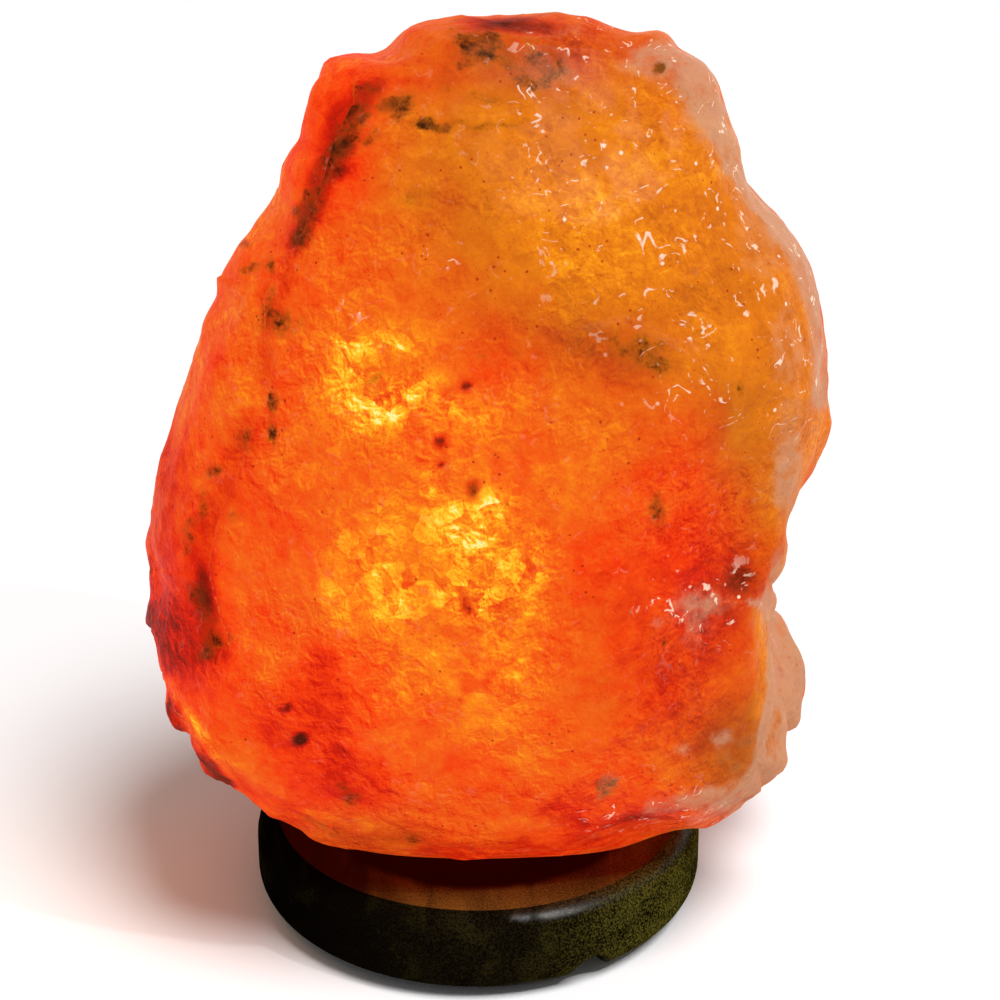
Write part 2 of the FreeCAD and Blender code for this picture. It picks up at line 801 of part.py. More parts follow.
def make_socket_cap():
    """The lower half of the moulded shell: a cup with grip flutes round it."""
    body, cup = turned_piece(
        "socket_cap",
        [
            ("nipple_diameter / 2", "0"),
            ("socket_diameter / 2", "0"),
            ("socket_diameter / 2", "cap_height"),
            ("socket_diameter / 2 - cap_wall", "cap_height"),
            ("socket_diameter / 2 - cap_wall", "cap_floor"),
            ("nipple_diameter / 2", "cap_floor"),
        ],
        "ceiling",
    )
    round_edges(body, cup, ring_edges(cup.Shape, value("socket_diameter") / 2, 0), "cap_rounding")
    flute = sketch_on(body, "XY_Plane", "grip_flute", lift="(cap_height - flute_length) / 2 + cap_rounding / 2")
    draw_circle(flute, "2 * flute_radius", "socket_diameter / 2 + flute_radius / 2", "0")
    repeat(body, pocket(body, flute, "flute_length", reverse=True), "flute_count")
    return body


def make_socket_sleeve():
    """The upper half of the shell: a tube with a ledge over the block's flange and a lip at its mouth."""
    body, tube = turned_piece(
        "socket_sleeve",
        [
            ("flange_diameter / 2", "0"),
            ("socket_diameter / 2", "0"),
            ("socket_diameter / 2", "sleeve_height"),
            ("sleeve_mouth / 2", "sleeve_height"),
            ("sleeve_mouth / 2", "sleeve_height - sleeve_lip"),
            ("sleeve_bore / 2", "sleeve_height - sleeve_lip"),
            ("sleeve_bore / 2", "flange_height"),
            ("flange_diameter / 2", "flange_height"),
        ],
        "cap_top",
    )
    rim = ring_edges(tube.Shape, value("socket_diameter") / 2, value("sleeve_height"))
    round_edges(body, tube, rim, "sleeve_rounding")
    return body


def make_contact_block():
    """The insulating block: a flange between the shell's halves, a slot on top and two screw holes below."""
    body, _ = turned_piece(
        "contact_block",
        [
            ("0", "-block_tail"),
            ("block_tail_diameter / 2", "-block_tail"),
            ("block_tail_diameter / 2", "0"),
            ("flange_diameter / 2", "0"),
            ("flange_diameter / 2", "flange_height"),
            ("sleeve_bore / 2", "flange_height"),
            ("sleeve_bore / 2", "block_height"),
            ("0", "block_height"),
        ],
        "cap_top",
    )
    slot = sketch_on(body, "XY_Plane", "contact_slot", lift="block_height")
    half = "(contact_width / 2 + contact_slot_play)"
    outer = "-(contact_foot + contact_slot_play)"
    inner = "shell_window / 2"
    draw_outline(slot, [(outer, "-" + half), (inner, "-" + half), (inner, half), (outer, half)])
    pocket(body, slot, "contact_slot_depth")

    screw_hole = sketch_on(body, "XY_Plane", "terminal_hole", lift="-block_tail")
    draw_circle(screw_hole, "terminal_diameter", "0", "terminal_spacing / 2")
    repeat(body, pocket(body, screw_hole, "terminal_depth", reverse=True), "2")
    return body


def make_terminal_screws():
    """Two small screws that clamp the wires under the block."""
    body = new_body("terminal_screws", "cap_top - block_tail", "90")
    profile = sketch_on(body, "XZ_Plane", "terminal_profile")
    draw_axis(profile, "terminal_spacing / 2")
    draw_outline(
        profile,
        [
            ("terminal_spacing / 2", "-terminal_head_height"),
            ("terminal_spacing / 2 + terminal_head / 2", "-terminal_head_height"),
            ("terminal_spacing / 2 + terminal_head / 2", "0"),
            ("terminal_spacing / 2 + terminal_diameter / 2", "0"),
            ("terminal_spacing / 2 + terminal_diameter / 2", "terminal_depth"),
            ("terminal_spacing / 2", "terminal_depth"),
        ],
    )
    repeat(body, revolve(body, profile, "Axis0"), "2")
    return body


def make_screw_shell():
    """The drawn brass shell that the bulb screws into, with a window in its floor for the centre contact."""
    body, _ = turned_piece(
        "screw_shell",
        [
            ("shell_window / 2", "0"),
            ("shell_bore / 2 + shell_wall", "0"),
            ("shell_bore / 2 + shell_wall", "shell_height"),
            ("shell_bore / 2", "shell_height"),
            ("shell_bore / 2", "shell_wall"),
            ("shell_window / 2", "shell_wall"),
        ],
        "block_top",
    )
    return body


def make_centre_contact():
    """A springy brass strip that lies in the block's slot and rises through the shell's window."""
    body = new_body("centre_contact", "block_top")
    side = sketch_on(body, "XZ_Plane", "contact_side")
    floor = "-contact_slot_depth"
    skin = "contact_thickness"

    def riser(level, inset):
        return f"contact_step - {inset} - contact_slope * ({level} + contact_slot_depth)"

    draw_outline(
        side,
        [
            ("-contact_foot", floor),
            (riser(floor, "0"), floor),
            (riser("contact_rise", "0"), "contact_rise"),
            ("-contact_width / 2", "contact_rise"),
            ("-contact_width / 2", f"contact_rise - {skin}"),
            (riser(f"contact_rise - {skin}", skin), f"contact_rise - {skin}"),
            (riser(f"{floor} + {skin}", skin), f"{floor} + {skin}"),
            ("-contact_foot", f"{floor} + {skin}"),
        ],
    )
    pad(body, side, "contact_width", midplane=True)
    return body


# ---------------------------------------------------------------- bulb


def make_bulb_foot_contact():
    """The rounded solder contact in the middle of the bulb's foot."""
    body, _ = turned_piece(
        "bulb_foot_contact",
        [
            ("0", "0"),
            ("button_diameter / 2 - button_height / 2", "0"),
            ("button_diameter / 2", "button_height / 2"),
            ("button_diameter / 2", "button_height"),
            ("0", "button_height"),
        ],
        "bulb_foot",
    )
    return body


def make_bulb_insulator():
    """The dark glass cone between the foot contact and the threaded cap."""
    body, _ = turned_piece(
        "bulb_insulator",
        [
            ("0", "button_height"),
            ("button_diameter / 2 + insulator_spigot", "button_height"),
            ("bulb_cap_diameter / 2", "insulator_top"),
            ("bulb_cap_bore / 2", "insulator_top"),
            ("bulb_cap_bore / 2", "insulator_top + insulator_spigot"),
            ("0", "insulator_top + insulator_spigot"),
        ],
        "bulb_foot",
    )
    return body


def make_bulb_screw_cap():
    """The thin metal cap that screws into the lampholder, flared where it meets the glass."""
    start = "insulator_top"
    end = "insulator_top + bulb_cap_height"
    neck = "insulator_top + bulb_cap_height - flare_height"
    body, _ = turned_piece(
        "bulb_screw_cap",
        [
            ("bulb_cap_bore / 2", start),
            ("bulb_cap_diameter / 2", start),
            ("bulb_cap_diameter / 2", neck),
            ("bulb_cap_diameter / 2 + bulb_cap_flare", f"{neck} + bulb_cap_flare"),
            ("bulb_cap_diameter / 2 + bulb_cap_flare", end),
            ("bulb_cap_bore / 2 + bulb_cap_flare", end),
            ("bulb_cap_bore / 2 + bulb_cap_flare", f"{neck} + bulb_cap_flare"),
            ("bulb_cap_bore / 2", neck),
        ],
        "bulb_foot",
    )
    return body


def envelope_profile(inset):
    """Half the outline of the bulb, moved inwards: neck, tangent shoulder and round dome, as edges."""
    dome_radius = value("bulb_diameter") / 2 - inset
    dome_middle = value("bulb_length - bulb_diameter / 2")
    neck_radius = value("neck_diameter") / 2 - inset
    neck_end = value("neck_end")
    neck_start = value("neck_start")
    rise = dome_middle - neck_end
    lean = math.atan2(rise, neck_radius) - math.acos(dome_radius / math.hypot(rise, neck_radius))
    touch = Vector(dome_radius * math.cos(lean), 0, dome_middle - dome_radius * math.sin(lean))
    top = Vector(0, 0, dome_middle + dome_radius)
    shoulder = Vector(dome_radius * math.cos(0.5), 0, dome_middle + dome_radius * math.sin(0.5))
    corner = Vector(neck_radius, 0, neck_end)
    foot = Vector(neck_radius, 0, neck_start)
    neck = Part.LineSegment(foot, corner).toShape()
    slope = Part.LineSegment(corner, touch).toShape()
    dome = Part.Arc(touch, shoulder, top).toShape()
    return [neck, slope, dome]


def make_bulb_glass():
    """The blown envelope: an even wall between an outer and an inner outline, turned round the axis."""
    outer = envelope_profile(0)
    inner = envelope_profile(value("glass_wall"))
    outer_foot, inner_foot = outer[0].Vertexes[0].Point, inner[0].Vertexes[0].Point
    outer_top, inner_top = outer[2].Vertexes[1].Point, inner[2].Vertexes[1].Point
    lid = Part.LineSegment(outer_top, inner_top).toShape()
    rim = Part.LineSegment(inner_foot, outer_foot).toShape()
    outline = Part.Wire(Part.__sortEdges__(outer + [lid] + inner + [rim]))
    glass = DOC.addObject("Part::Feature", "bulb_glass")
    glass.Shape = Part.Face(outline).revolve(Vector(), Vector(0, 0, 1), 360)
    place(glass, "bulb_foot")
    return glass


def make_bulb_stem():
    """The glass stem: a flare sealed into the neck and a rod that carries the wires."""
    body, _ = turned_piece(
        "bulb_stem",
        [
            ("0", "neck_start + stem_flare_rise - glass_wall"),
            ("neck_diameter / 2 - 2 * glass_wall", "neck_start"),
            ("neck_diameter / 2 - glass_wall", "neck_start"),
            ("neck_diameter / 2 - glass_wall", "neck_start + glass_wall"),
            ("stem_diameter / 2", "neck_start + stem_flare_rise"),
            ("stem_diameter / 2", "stem_top"),
            ("0", "stem_top"),
        ],
        "bulb_foot",
    )
    return body


def make_bent_wires(label, reach, count, angle, bearing):
    """Wires sealed in the stem that rise straight, then lean out to the filament."""
    body = new_body(label, "bulb_foot", bearing)
    spread = "wire_spread / 2"
    line = sketch_on(body, "XZ_Plane", label + "_line")
    bottom, bend = "stem_top - wire_seal", "stem_top + wire_straight"
    spots = [(spread, bottom), (spread, bend), (reach, "filament_height")]
    points = [Vector(value(x), value(z), 0) for x, z in spots]
    for start, end in zip(points, points[1:]):
        line.addGeometry(Part.LineSegment(start, end))
    line.addConstraint(Sketcher.Constraint("Coincident", 0, 2, 1, 1))
    fix_point(line, 0, 1, *spots[0])
    fix_point(line, 1, 1, *spots[1])
    fix_point(line, 1, 2, *spots[2])
    section = sketch_on(body, "XY_Plane", label + "_section", lift=bottom)
    draw_circle(section, "wire_diameter", spread, "0")
    DOC.recompute()
    wire = body.newObject("PartDesign::AdditivePipe", label + "_wire")
    wire.Profile = (section, [""])
    wire.Spine = (line, ["Edge1", "Edge2"])
    wire.Transition = "Right corner"
    DOC.recompute()
    repeat(body, wire, count, angle)
    return body


def make_bulb_filament():
    """The coiled filament, as the half ring that it follows."""
    ring = DOC.addObject("Part::Torus", "bulb_filament")
    bind(ring, "Radius1", "filament_span / 2")
    bind(ring, "Radius2", "filament_diameter / 2")
    ring.Angle3 = 180
    place(ring, "bulb_foot + filament_height")
    return ring


# ---------------------------------------------------------------- the lamp


def check_document():
    """Stop if any object of the document failed to build."""
    for item in DOC.Objects:
        failed = [word for word in item.State if word in ("Invalid", "Error")]
        if failed:
            raise ValueError(f"{item.Label} is {failed}")


def check_piece(piece):
    """Stop if a sub-part has no sound solid."""
    shape = piece.Shape
    if shape.isNull() or not shape.isValid() or not shape.Solids or shape.Volume <= 0:
        raise ValueError(f"{piece.Label} has no valid solid")


def main():
    """Build every sub-part, check it and write it to its own file."""
    fill_sheet()
    pieces = [
        make_salt_crystal(),
        make_wood_base(),
        make_base_feet(),
        make_base_screws(),
        make_wall_plugs(),
        make_holder_plate(),
        make_threaded_nipple(),
        make_plate_locknut(),
        make_socket_cap(),
        make_socket_sleeve(),
        make_contact_block(),
        make_terminal_screws(),
        make_screw_shell(),
        make_centre_contact(),
        make_bulb_foot_contact(),
        make_bulb_insulator(),
        make_bulb_screw_cap(),
        make_bulb_glass(),
        make_bulb_stem(),
        make_bent_wires("bulb_lead_wires", "filament_span / 2", "2", "360", "0"),
        make_bent_wires(
            "filament_supports",
            "filament_span / 2 - filament_diameter / 2",
            "2",
            "180 - 2 * hook_bearing",
            "hook_bearing",
        ),
        make_bulb_filament(),
    ]
    pieces += [make_spring_clip(number + 1) for number in range(int(value("clip_count")))]
    DOC.recompute()
    check_document()
    os.makedirs("parts", exist_ok=True)
    for piece in pieces:
        check_piece(piece)
        piece.Shape.exportStep(f"parts/{piece.Label}.step")
        solids = len(piece.Shape.Solids)
        print(f"{piece.Label}: {solids} solid(s), {piece.Shape.Volume / 1000:.2f} cm3")


main()
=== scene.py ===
"""Salt crystal lamp: a hewn block of rock salt, lit from inside, on a round wooden base.

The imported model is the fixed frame. The crystal, the threads, the filament's coil and the screws are new
pieces worked out as numpy grids; every other part of the frame keeps its shape and gets its own finish.
Sizes are in millimetres until a mesh is made, and +Z is up, with the lamp's front towards -Y.
"""

import itertools
import logging
import math
from dataclasses import dataclass
from enum import Enum
from typing import Any, Callable, Mapping, Sequence

import bpy
import numpy as np
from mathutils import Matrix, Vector


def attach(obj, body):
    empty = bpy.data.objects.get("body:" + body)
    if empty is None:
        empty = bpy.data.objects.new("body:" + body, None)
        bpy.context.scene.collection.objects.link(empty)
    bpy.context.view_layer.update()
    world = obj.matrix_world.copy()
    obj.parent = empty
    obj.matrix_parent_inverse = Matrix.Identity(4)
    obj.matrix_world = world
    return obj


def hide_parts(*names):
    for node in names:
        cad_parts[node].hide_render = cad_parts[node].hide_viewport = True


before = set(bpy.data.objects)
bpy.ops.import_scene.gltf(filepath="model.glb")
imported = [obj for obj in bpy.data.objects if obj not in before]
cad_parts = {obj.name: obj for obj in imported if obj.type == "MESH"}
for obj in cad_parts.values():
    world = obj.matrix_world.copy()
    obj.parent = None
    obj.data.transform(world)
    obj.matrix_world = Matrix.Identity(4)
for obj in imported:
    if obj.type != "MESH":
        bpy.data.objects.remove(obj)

LOG = logging.getLogger("salt_crystal_lamp")
MM = 0.001
TURN = 2 * math.pi
Colour = tuple[float, float, float]
Point = tuple[float, float, float]
Place = tuple[float, float]
Stops = tuple[tuple[float, Colour], ...]


# ---------------------------------------------------------------- shader graph


def _operator(operation: str, swapped: bool = False) -> Callable[["Value", Any], "Value"]:
    """Make one of Value's operators.

    Args:
        operation: What its Math node does.
        swapped: Whether the other term comes first.

    Returns:
        The method.
    """

    def combine(value: "Value", other: Any) -> "Value":
        """Put both terms into a Math node."""
        terms = (other, value) if swapped else (value, other)
        return value.graph.maths(operation, *terms)

    return combine


class Value:
    """One socket of a shader graph, with the arithmetic that the finishes use."""

    def __init__(self, graph: "Graph", socket: Any) -> None:
        """Keep the graph that new nodes go to, and the socket itself."""
        self.graph = graph
        self.socket = socket

    __add__ = _operator("ADD")
    __radd__ = _operator("ADD", swapped=True)
    __sub__ = _operator("SUBTRACT")
    __rsub__ = _operator("SUBTRACT", swapped=True)
    __mul__ = _operator("MULTIPLY")
    __rmul__ = _operator("MULTIPLY", swapped=True)

    def __abs__(self) -> "Value":
        """This value without its sign."""
        return self.graph.maths("ABSOLUTE", self)

    def held(self) -> "Value":
        """This value, held between 0 and 1."""
        return self.graph.node("ShaderNodeClamp", {}, {0: self})

    def step(self, low: float, high: float) -> "Value":
        """A smooth step between two ends.

        Args:
            low: Where it is 0.
            high: Where it is 1. This end may be the lower one.

        Returns:
            The step, from 0 to 1.
        """
        ends = (low, high, 0.0, 1.0) if low < high else (high, low, 1.0, 0.0)
        inputs = {0: self, **dict(enumerate(ends, start=1))}
        return self.graph.node("ShaderNodeMapRange", {"interpolation_type": "SMOOTHSTEP"}, inputs)


class Graph:
    """A material's node graph round one Principled shader."""

    def __init__(self, name: str) -> None:
        """Start a material with an output and nothing else.

        Args:
            name: The material's name.
        """
        self.material = bpy.data.materials.new(name)
        self.material.use_nodes = True
        self.tree = self.material.node_tree
        self.tree.nodes.clear()
        self.output = self.tree.nodes.new("ShaderNodeOutputMaterial")

    def node(
        self,
        kind: str,
        settings: Mapping[str, Any] | None = None,
        inputs: Mapping[Any, Any] | None = None,
        output: Any = 0,
    ) -> Value:
        """Add one node.

        Args:
            kind: The node's type.
            settings: Properties, such as an operation, or a ramp's "stops" as (place, colour) pairs.
            inputs: Sockets by name or number, each with a number, a colour or another Value.
            output: The output socket to hand back, by name or number.

        Returns:
            The chosen output as a Value.
        """
        made = self.tree.nodes.new(kind)
        for name, setting in (settings or {}).items():
            if name == "stops":
                self._fill_ramp(made.color_ramp, setting)
            else:
                setattr(made, name, setting)
        for name, given in (inputs or {}).items():
            self.feed(made.inputs[name], given)
        return Value(self, made.outputs[output])

    def maths(self, operation: str, *terms: Any, kind: str = "ShaderNodeMath") -> Value:
        """Arithmetic on numbers, or on vectors if the node is of that kind."""
        return self.node(kind, {"operation": operation}, dict(enumerate(terms)))

    @staticmethod
    def _fill_ramp(ramp: Any, stops: Stops) -> None:
        """Set a ramp's stops.

        Args:
            ramp: The colour ramp.
            stops: Their places and colours, in order.
        """
        while len(ramp.elements) < len(stops):
            ramp.elements.new(1.0)
        for element, (place, colour) in zip(ramp.elements, stops):
            element.position = place
            element.color = (*colour, 1.0)

    def feed(self, socket: Any, given: Any) -> None:
        """Link a socket, or set it.

        Args:
            socket: The socket.
            given: The Value that it is linked to, or the number, colour or vector that it is set to.
        """
        inner = given.socket if isinstance(given, Value) else given
        if isinstance(inner, bpy.types.NodeSocket):
            self.tree.links.new(inner, socket)
        elif isinstance(inner, (int, float)):
            socket.default_value = inner
        else:
            socket.default_value = (*inner, 1.0) if socket.type == "RGBA" and len(inner) == 3 else inner

    def place(self) -> Value:
        """The point being shaded, in the lamp's own frame, in metres."""
        return self.node("ShaderNodeTexCoord", {}, {}, "Object")

    def painted(self, name: str) -> Value:
        """A number painted on the piece's points."""
        return self.node("ShaderNodeAttribute", {"attribute_name": name}, {}, "Fac")

    def grain(
        self,
        size: float,
        detail: float = 3.0,
        rough: float = 0.5,
        warp: float = 0.0,
        stretch: Point | None = None,
        shift: Point | None = None,
    ) -> Value:
        """Cloudy noise.

        Args:
            size: The size of its largest clouds, in millimetres.
            detail: How many finer layers it has.
            rough: How strong the finer layers are.
            warp: How far it is distorted.
            stretch: The factors by which it is finer along X, Y and Z, if it is drawn out.
            shift: How far it is moved along X, Y and Z, in millimetres, if it is moved.

        Returns:
            The noise, about 0.5 on average.
        """
        where = self.place()
        if stretch:
            where = self.maths("MULTIPLY", where, stretch, kind="ShaderNodeVectorMath")
        if shift:
            moved = tuple(part * MM for part in shift)
            where = self.maths("ADD", where, moved, kind="ShaderNodeVectorMath")
        inputs = {"Vector": where, "Scale": 1000.0 / size, "Detail": detail, "Roughness": rough}
        return self.node("ShaderNodeTexNoise", {}, {**inputs, "Distortion": warp})

    def lean(self, size: float, detail: float, rough: float, warp: float, way: Point) -> Value:
        """How much cloudy noise rises along a short way, in millimetres: light and shade as on a relief."""
        return self.grain(size, detail, rough, warp, shift=way) - self.grain(size, detail, rough, warp)

    def cells(self, size: float, feature: str = "F1", output: str = "Distance", warp: float = 0.0) -> Value:
        """Cells, each round its own middle.

        Args:
            size: About how large they are, in millimetres.
            feature: Which middle counts, such as the nearest.
            output: The way to that middle, or a colour for each cell.
            warp: How ragged they are, in millimetres.

        Returns:
            The chosen output.
        """
        where = self.place()
        if warp:
            inputs = {"Vector": where, "Scale": 500.0 / size, "Detail": 3.0}
            drift = self.node("ShaderNodeTexNoise", {}, inputs, "Color")
            where = self.maths("MULTIPLY_ADD", drift, (warp * MM,) * 3, where, kind="ShaderNodeVectorMath")
        inputs = {"Vector": where, "Scale": 1000.0 / size}
        return self.node("ShaderNodeTexVoronoi", {"feature": feature}, inputs, output)

    def mix(self, share: Any, first: Any, second: Any) -> Value:
        """A blend of two colours."""
        return self.node("ShaderNodeMix", {"data_type": "RGBA"}, {0: share, 6: first, 7: second}, 2)

    def ramp(self, share: Value, stops: Stops) -> Value:
        """A colour picked along a ramp."""
        return self.node("ShaderNodeValToRGB", {"stops": stops}, {0: share})

    def bump(self, height: Value, depth: float, under: Value | None = None) -> Value:
        """A bumped normal.

        Args:
            height: The height, about 0 to 1.
            depth: How deep the bumps are, in millimetres.
            under: A normal that these bumps lie on.

        Returns:
            The normal.
        """
        inputs = {"Strength": 1.0, "Distance": depth * MM, "Height": height}
        if under is not None:
            inputs["Normal"] = under
        return self.node("ShaderNodeBump", {}, inputs)

    def finish(self, **sockets: Any) -> bpy.types.Material:
        """Close the graph with a Principled shader.

        Args:
            **sockets: The shader's sockets, with underscores for spaces.

        Returns:
            The material.
        """
        inputs = {name.replace("_", " "): given for name, given in sockets.items()}
        shader = self.node("ShaderNodeBsdfPrincipled", {}, inputs)
        self.tree.links.new(shader.socket, self.output.inputs["Surface"])
        self.material.cycles.emission_sampling = "NONE"
        return self.material


# ---------------------------------------------------------------- finishes


class Mark(Enum):
    """What is painted on the crystal's points."""

    GLOW = "glow"
    GOLD = "gold"
    CRUST = "crust"
    CLAY = "clay"
    GLOSS = "gloss"


@dataclass(frozen=True)
class SaltFinish:
    """Waxy rock salt lit from inside. What is painted on its points says how it glows, how golden that is,
    and where it has milky crust, brown clay and glossy faces with painted glints. Clouds, chips and dust,
    which are noise in three sizes, make all of these ragged."""

    red_glow: Stops = (
        (0.0, (0.015, 0.001, 0.001)),
        (0.15, (0.22, 0.003, 0.002)),
        (0.30, (0.62, 0.008, 0.002)),
        (0.42, (0.86, 0.038, 0.003)),
        (0.55, (0.90, 0.095, 0.008)),
        (0.68, (0.96, 0.225, 0.009)),
        (0.82, (1.0, 0.52, 0.02)),
        (0.93, (1.0, 0.78, 0.06)),
        (1.0, (1.0, 0.95, 0.45)),
    )
    gold_glow: Stops = (
        (0.0, (0.03, 0.008, 0.003)),
        (0.20, (0.20, 0.045, 0.008)),
        (0.35, (0.42, 0.095, 0.007)),
        (0.50, (0.60, 0.155, 0.006)),
        (0.62, (0.76, 0.21, 0.006)),
        (0.75, (0.88, 0.31, 0.008)),
        (0.88, (0.98, 0.47, 0.014)),
        (1.0, (1.0, 0.75, 0.08)),
    )
    body: Colour = (0.08, 0.008, 0.001)
    crust: Colour = (0.25, 0.155, 0.112)
    clay: Colour = (0.014, 0.0045, 0.0012)
    fleck: Colour = (0.28, 0.005, 0.003)
    # The colour of the painted glints, highlights painted into the emission
    glint: Colour = (1.0, 0.78, 0.60)
    dark_clay: Colour = (0.040, 0.0065, 0.0006)
    dim_clay: Colour = (0.200, 0.040, 0.003)
    dim_crust: Colour = (0.25, 0.075, 0.010)
    tint: tuple[float, ...] = (1.0, 0.60, 0.42, 1.0)
    cloud_size: float = 15.0
    chip_size: float = 4.2
    chip_depth: float = 1.1
    dust_size: float = 0.8
    dust_depth: float = 0.10
    pit_size: float = 1.9
    pit_depth: float = 0.30
    shard_size: float = 4.4
    shard_warp: float = 5.0
    # The size of the crinkles whose painted light and shade is added to the glow, and the way that light
    # comes from
    crinkle_size: float = 3.6
    crinkle_light_way: Point = (0.28, -0.1, 0.5)
    rugged_size: float = 24.0

    def build(self) -> bpy.types.Material:
        """Make the material: its glow first, then what lies over it, then its polish and its relief.

        Returns:
            The material.
        """
        graph = Graph("rock_salt")
        glow, gold, crust, clay, gloss = (graph.painted(mark.value) for mark in Mark)
        chip_height = graph.grain(self.chip_size, 4.0, 0.6, 0.25)
        dust_height = graph.grain(self.dust_size, 2.0, 0.6)
        clouds = graph.grain(self.cloud_size, 5.0, 0.62, 0.3) - 0.5
        chips, dust = chip_height - 0.5, dust_height - 0.5
        tone = self.tone(graph, glow, clouds, chips) + dust * 0.12
        warmth = (gold + clouds * 0.7 + chips * 0.3).held()
        glows = (graph.ramp(tone.held(), stops) for stops in (self.red_glow, self.gold_glow))
        patches = clouds * 1.5 + chips * 2.2 + dust * 1.1
        stain = (clay + patches * (0.10 + clay * 0.9)).step(0.15, 0.98)
        milk = (crust + (chips * 1.6 + clouds * 0.8 + dust * 0.3) * (0.10 + crust)).step(0.20, 0.85)
        lit = graph.mix(self.flecks(graph) * 0.75, graph.mix(warmth, *glows), self.fleck)
        veil = stain * (0.66 + chips * 1.5 + dust * 0.8)
        stained = graph.mix(chip_height.step(0.42, 0.66), self.dim_clay, self.dark_clay)
        lit = graph.mix(veil.held(), lit, stained)
        lit = graph.mix(milk * 0.72, lit, self.dim_crust)
        polish = (gloss + clouds * 0.8).held()
        rough = 0.56 - polish * 0.40 + stain * 0.15 + chips * 0.16
        relief = graph.bump(chip_height, self.chip_depth)
        relief = graph.bump(graph.cells(self.pit_size, "SMOOTH_F1"), self.pit_depth, relief)
        return graph.finish(
            Base_Color=graph.mix(stain, graph.mix(milk, self.body, self.crust), self.clay),
            Roughness=rough.held(),
            Specular_IOR_Level=0.02,
            Specular_Tint=self.tint,
            Coat_Weight=polish * 0.05,
            Coat_Roughness=0.22,
            # The glow, with painted glints on top
            Emission_Color=graph.mix(self.glints(graph, gloss), lit, self.glint),
            Emission_Strength=1.0,
            Normal=graph.bump(dust_height, self.dust_depth, relief),
        )

    def tone(self, graph: Graph, glow: Value, clouds: Value, chips: Value) -> Value:
        """How bright the salt is: the painted glow, plus noise, painted light and shade on crinkles, and
        shards, all of which are stronger where it glows most.

        Args:
            graph: The graph.
            glow: The painted glow.
            clouds: The broad noise, about 0 on average.
            chips: The finer noise, about 0 on average.

        Returns:
            The place along the glow's ramps.
        """
        lively = glow.step(0.50, 0.95)
        colours = graph.cells(self.shard_size, "F1", "Color", self.shard_warp)
        shards = graph.node("ShaderNodeSeparateColor", {}, {0: colours}, 0) - 0.5
        # Painted light and shade: how the crinkles rise along a way, added to the glow as if lit from there
        crinkle_shading = graph.lean(self.crinkle_size, 5.0, 0.66, 0.4, self.crinkle_light_way)
        rugged = graph.grain(self.rugged_size, 2.0, shift=(40.0, 0.0, 0.0)).step(0.38, 0.62)
        tone = glow + clouds * (0.32 + 0.4 * lively) + chips * (0.20 + 0.9 * lively)
        return tone + crinkle_shading * (0.22 + 0.60 * rugged + 1.1 * lively) + shards * (0.06 + 0.34 * lively)

    @staticmethod
    def flecks(graph: Graph) -> Value:
        """Dark red specks in two sizes, in loose swarms.

        Args:
            graph: The graph.

        Returns:
            1 on a speck and 0 beside it.
        """
        large = graph.cells(2.9, warp=1.2).step(0.15, 0.09) * graph.grain(13.0, 2.0).step(0.50, 0.60)
        swarms = graph.grain(9.0, 2.0, shift=(20.0, 5.0, 9.0)).step(0.51, 0.60)
        return (large + graph.cells(1.25).step(0.20, 0.10) * swarms * 0.7).held()

    @staticmethod
    def glints(graph: Graph, gloss: Value) -> Value:
        """Painted glints, small bright arcs and points in the emission: where cloudy noise crosses its
        middle, broken up by other noise.

        Args:
            graph: The graph.
            gloss: The painted gloss, which says where there are more of them.

        Returns:
            1 on a glint and 0 beside it.
        """
        arcs = abs(graph.grain(6.2, 1.5, 0.5, 0.9) - 0.5).step(0.030, 0.010)
        arcs = arcs * graph.grain(4.6, 3.0, 0.65, shift=(30.0, 10.0, 5.0)).step(0.55, 0.62)
        swarms = graph.grain(8.0, shift=(7.0, 3.0, 1.0)).step(0.50, 0.58)
        points = graph.cells(5.6, warp=2.0).step(0.105, 0.06) * swarms
        return (arcs * 0.8 + points).held() * (gloss + 0.14).step(0.18, 0.85)


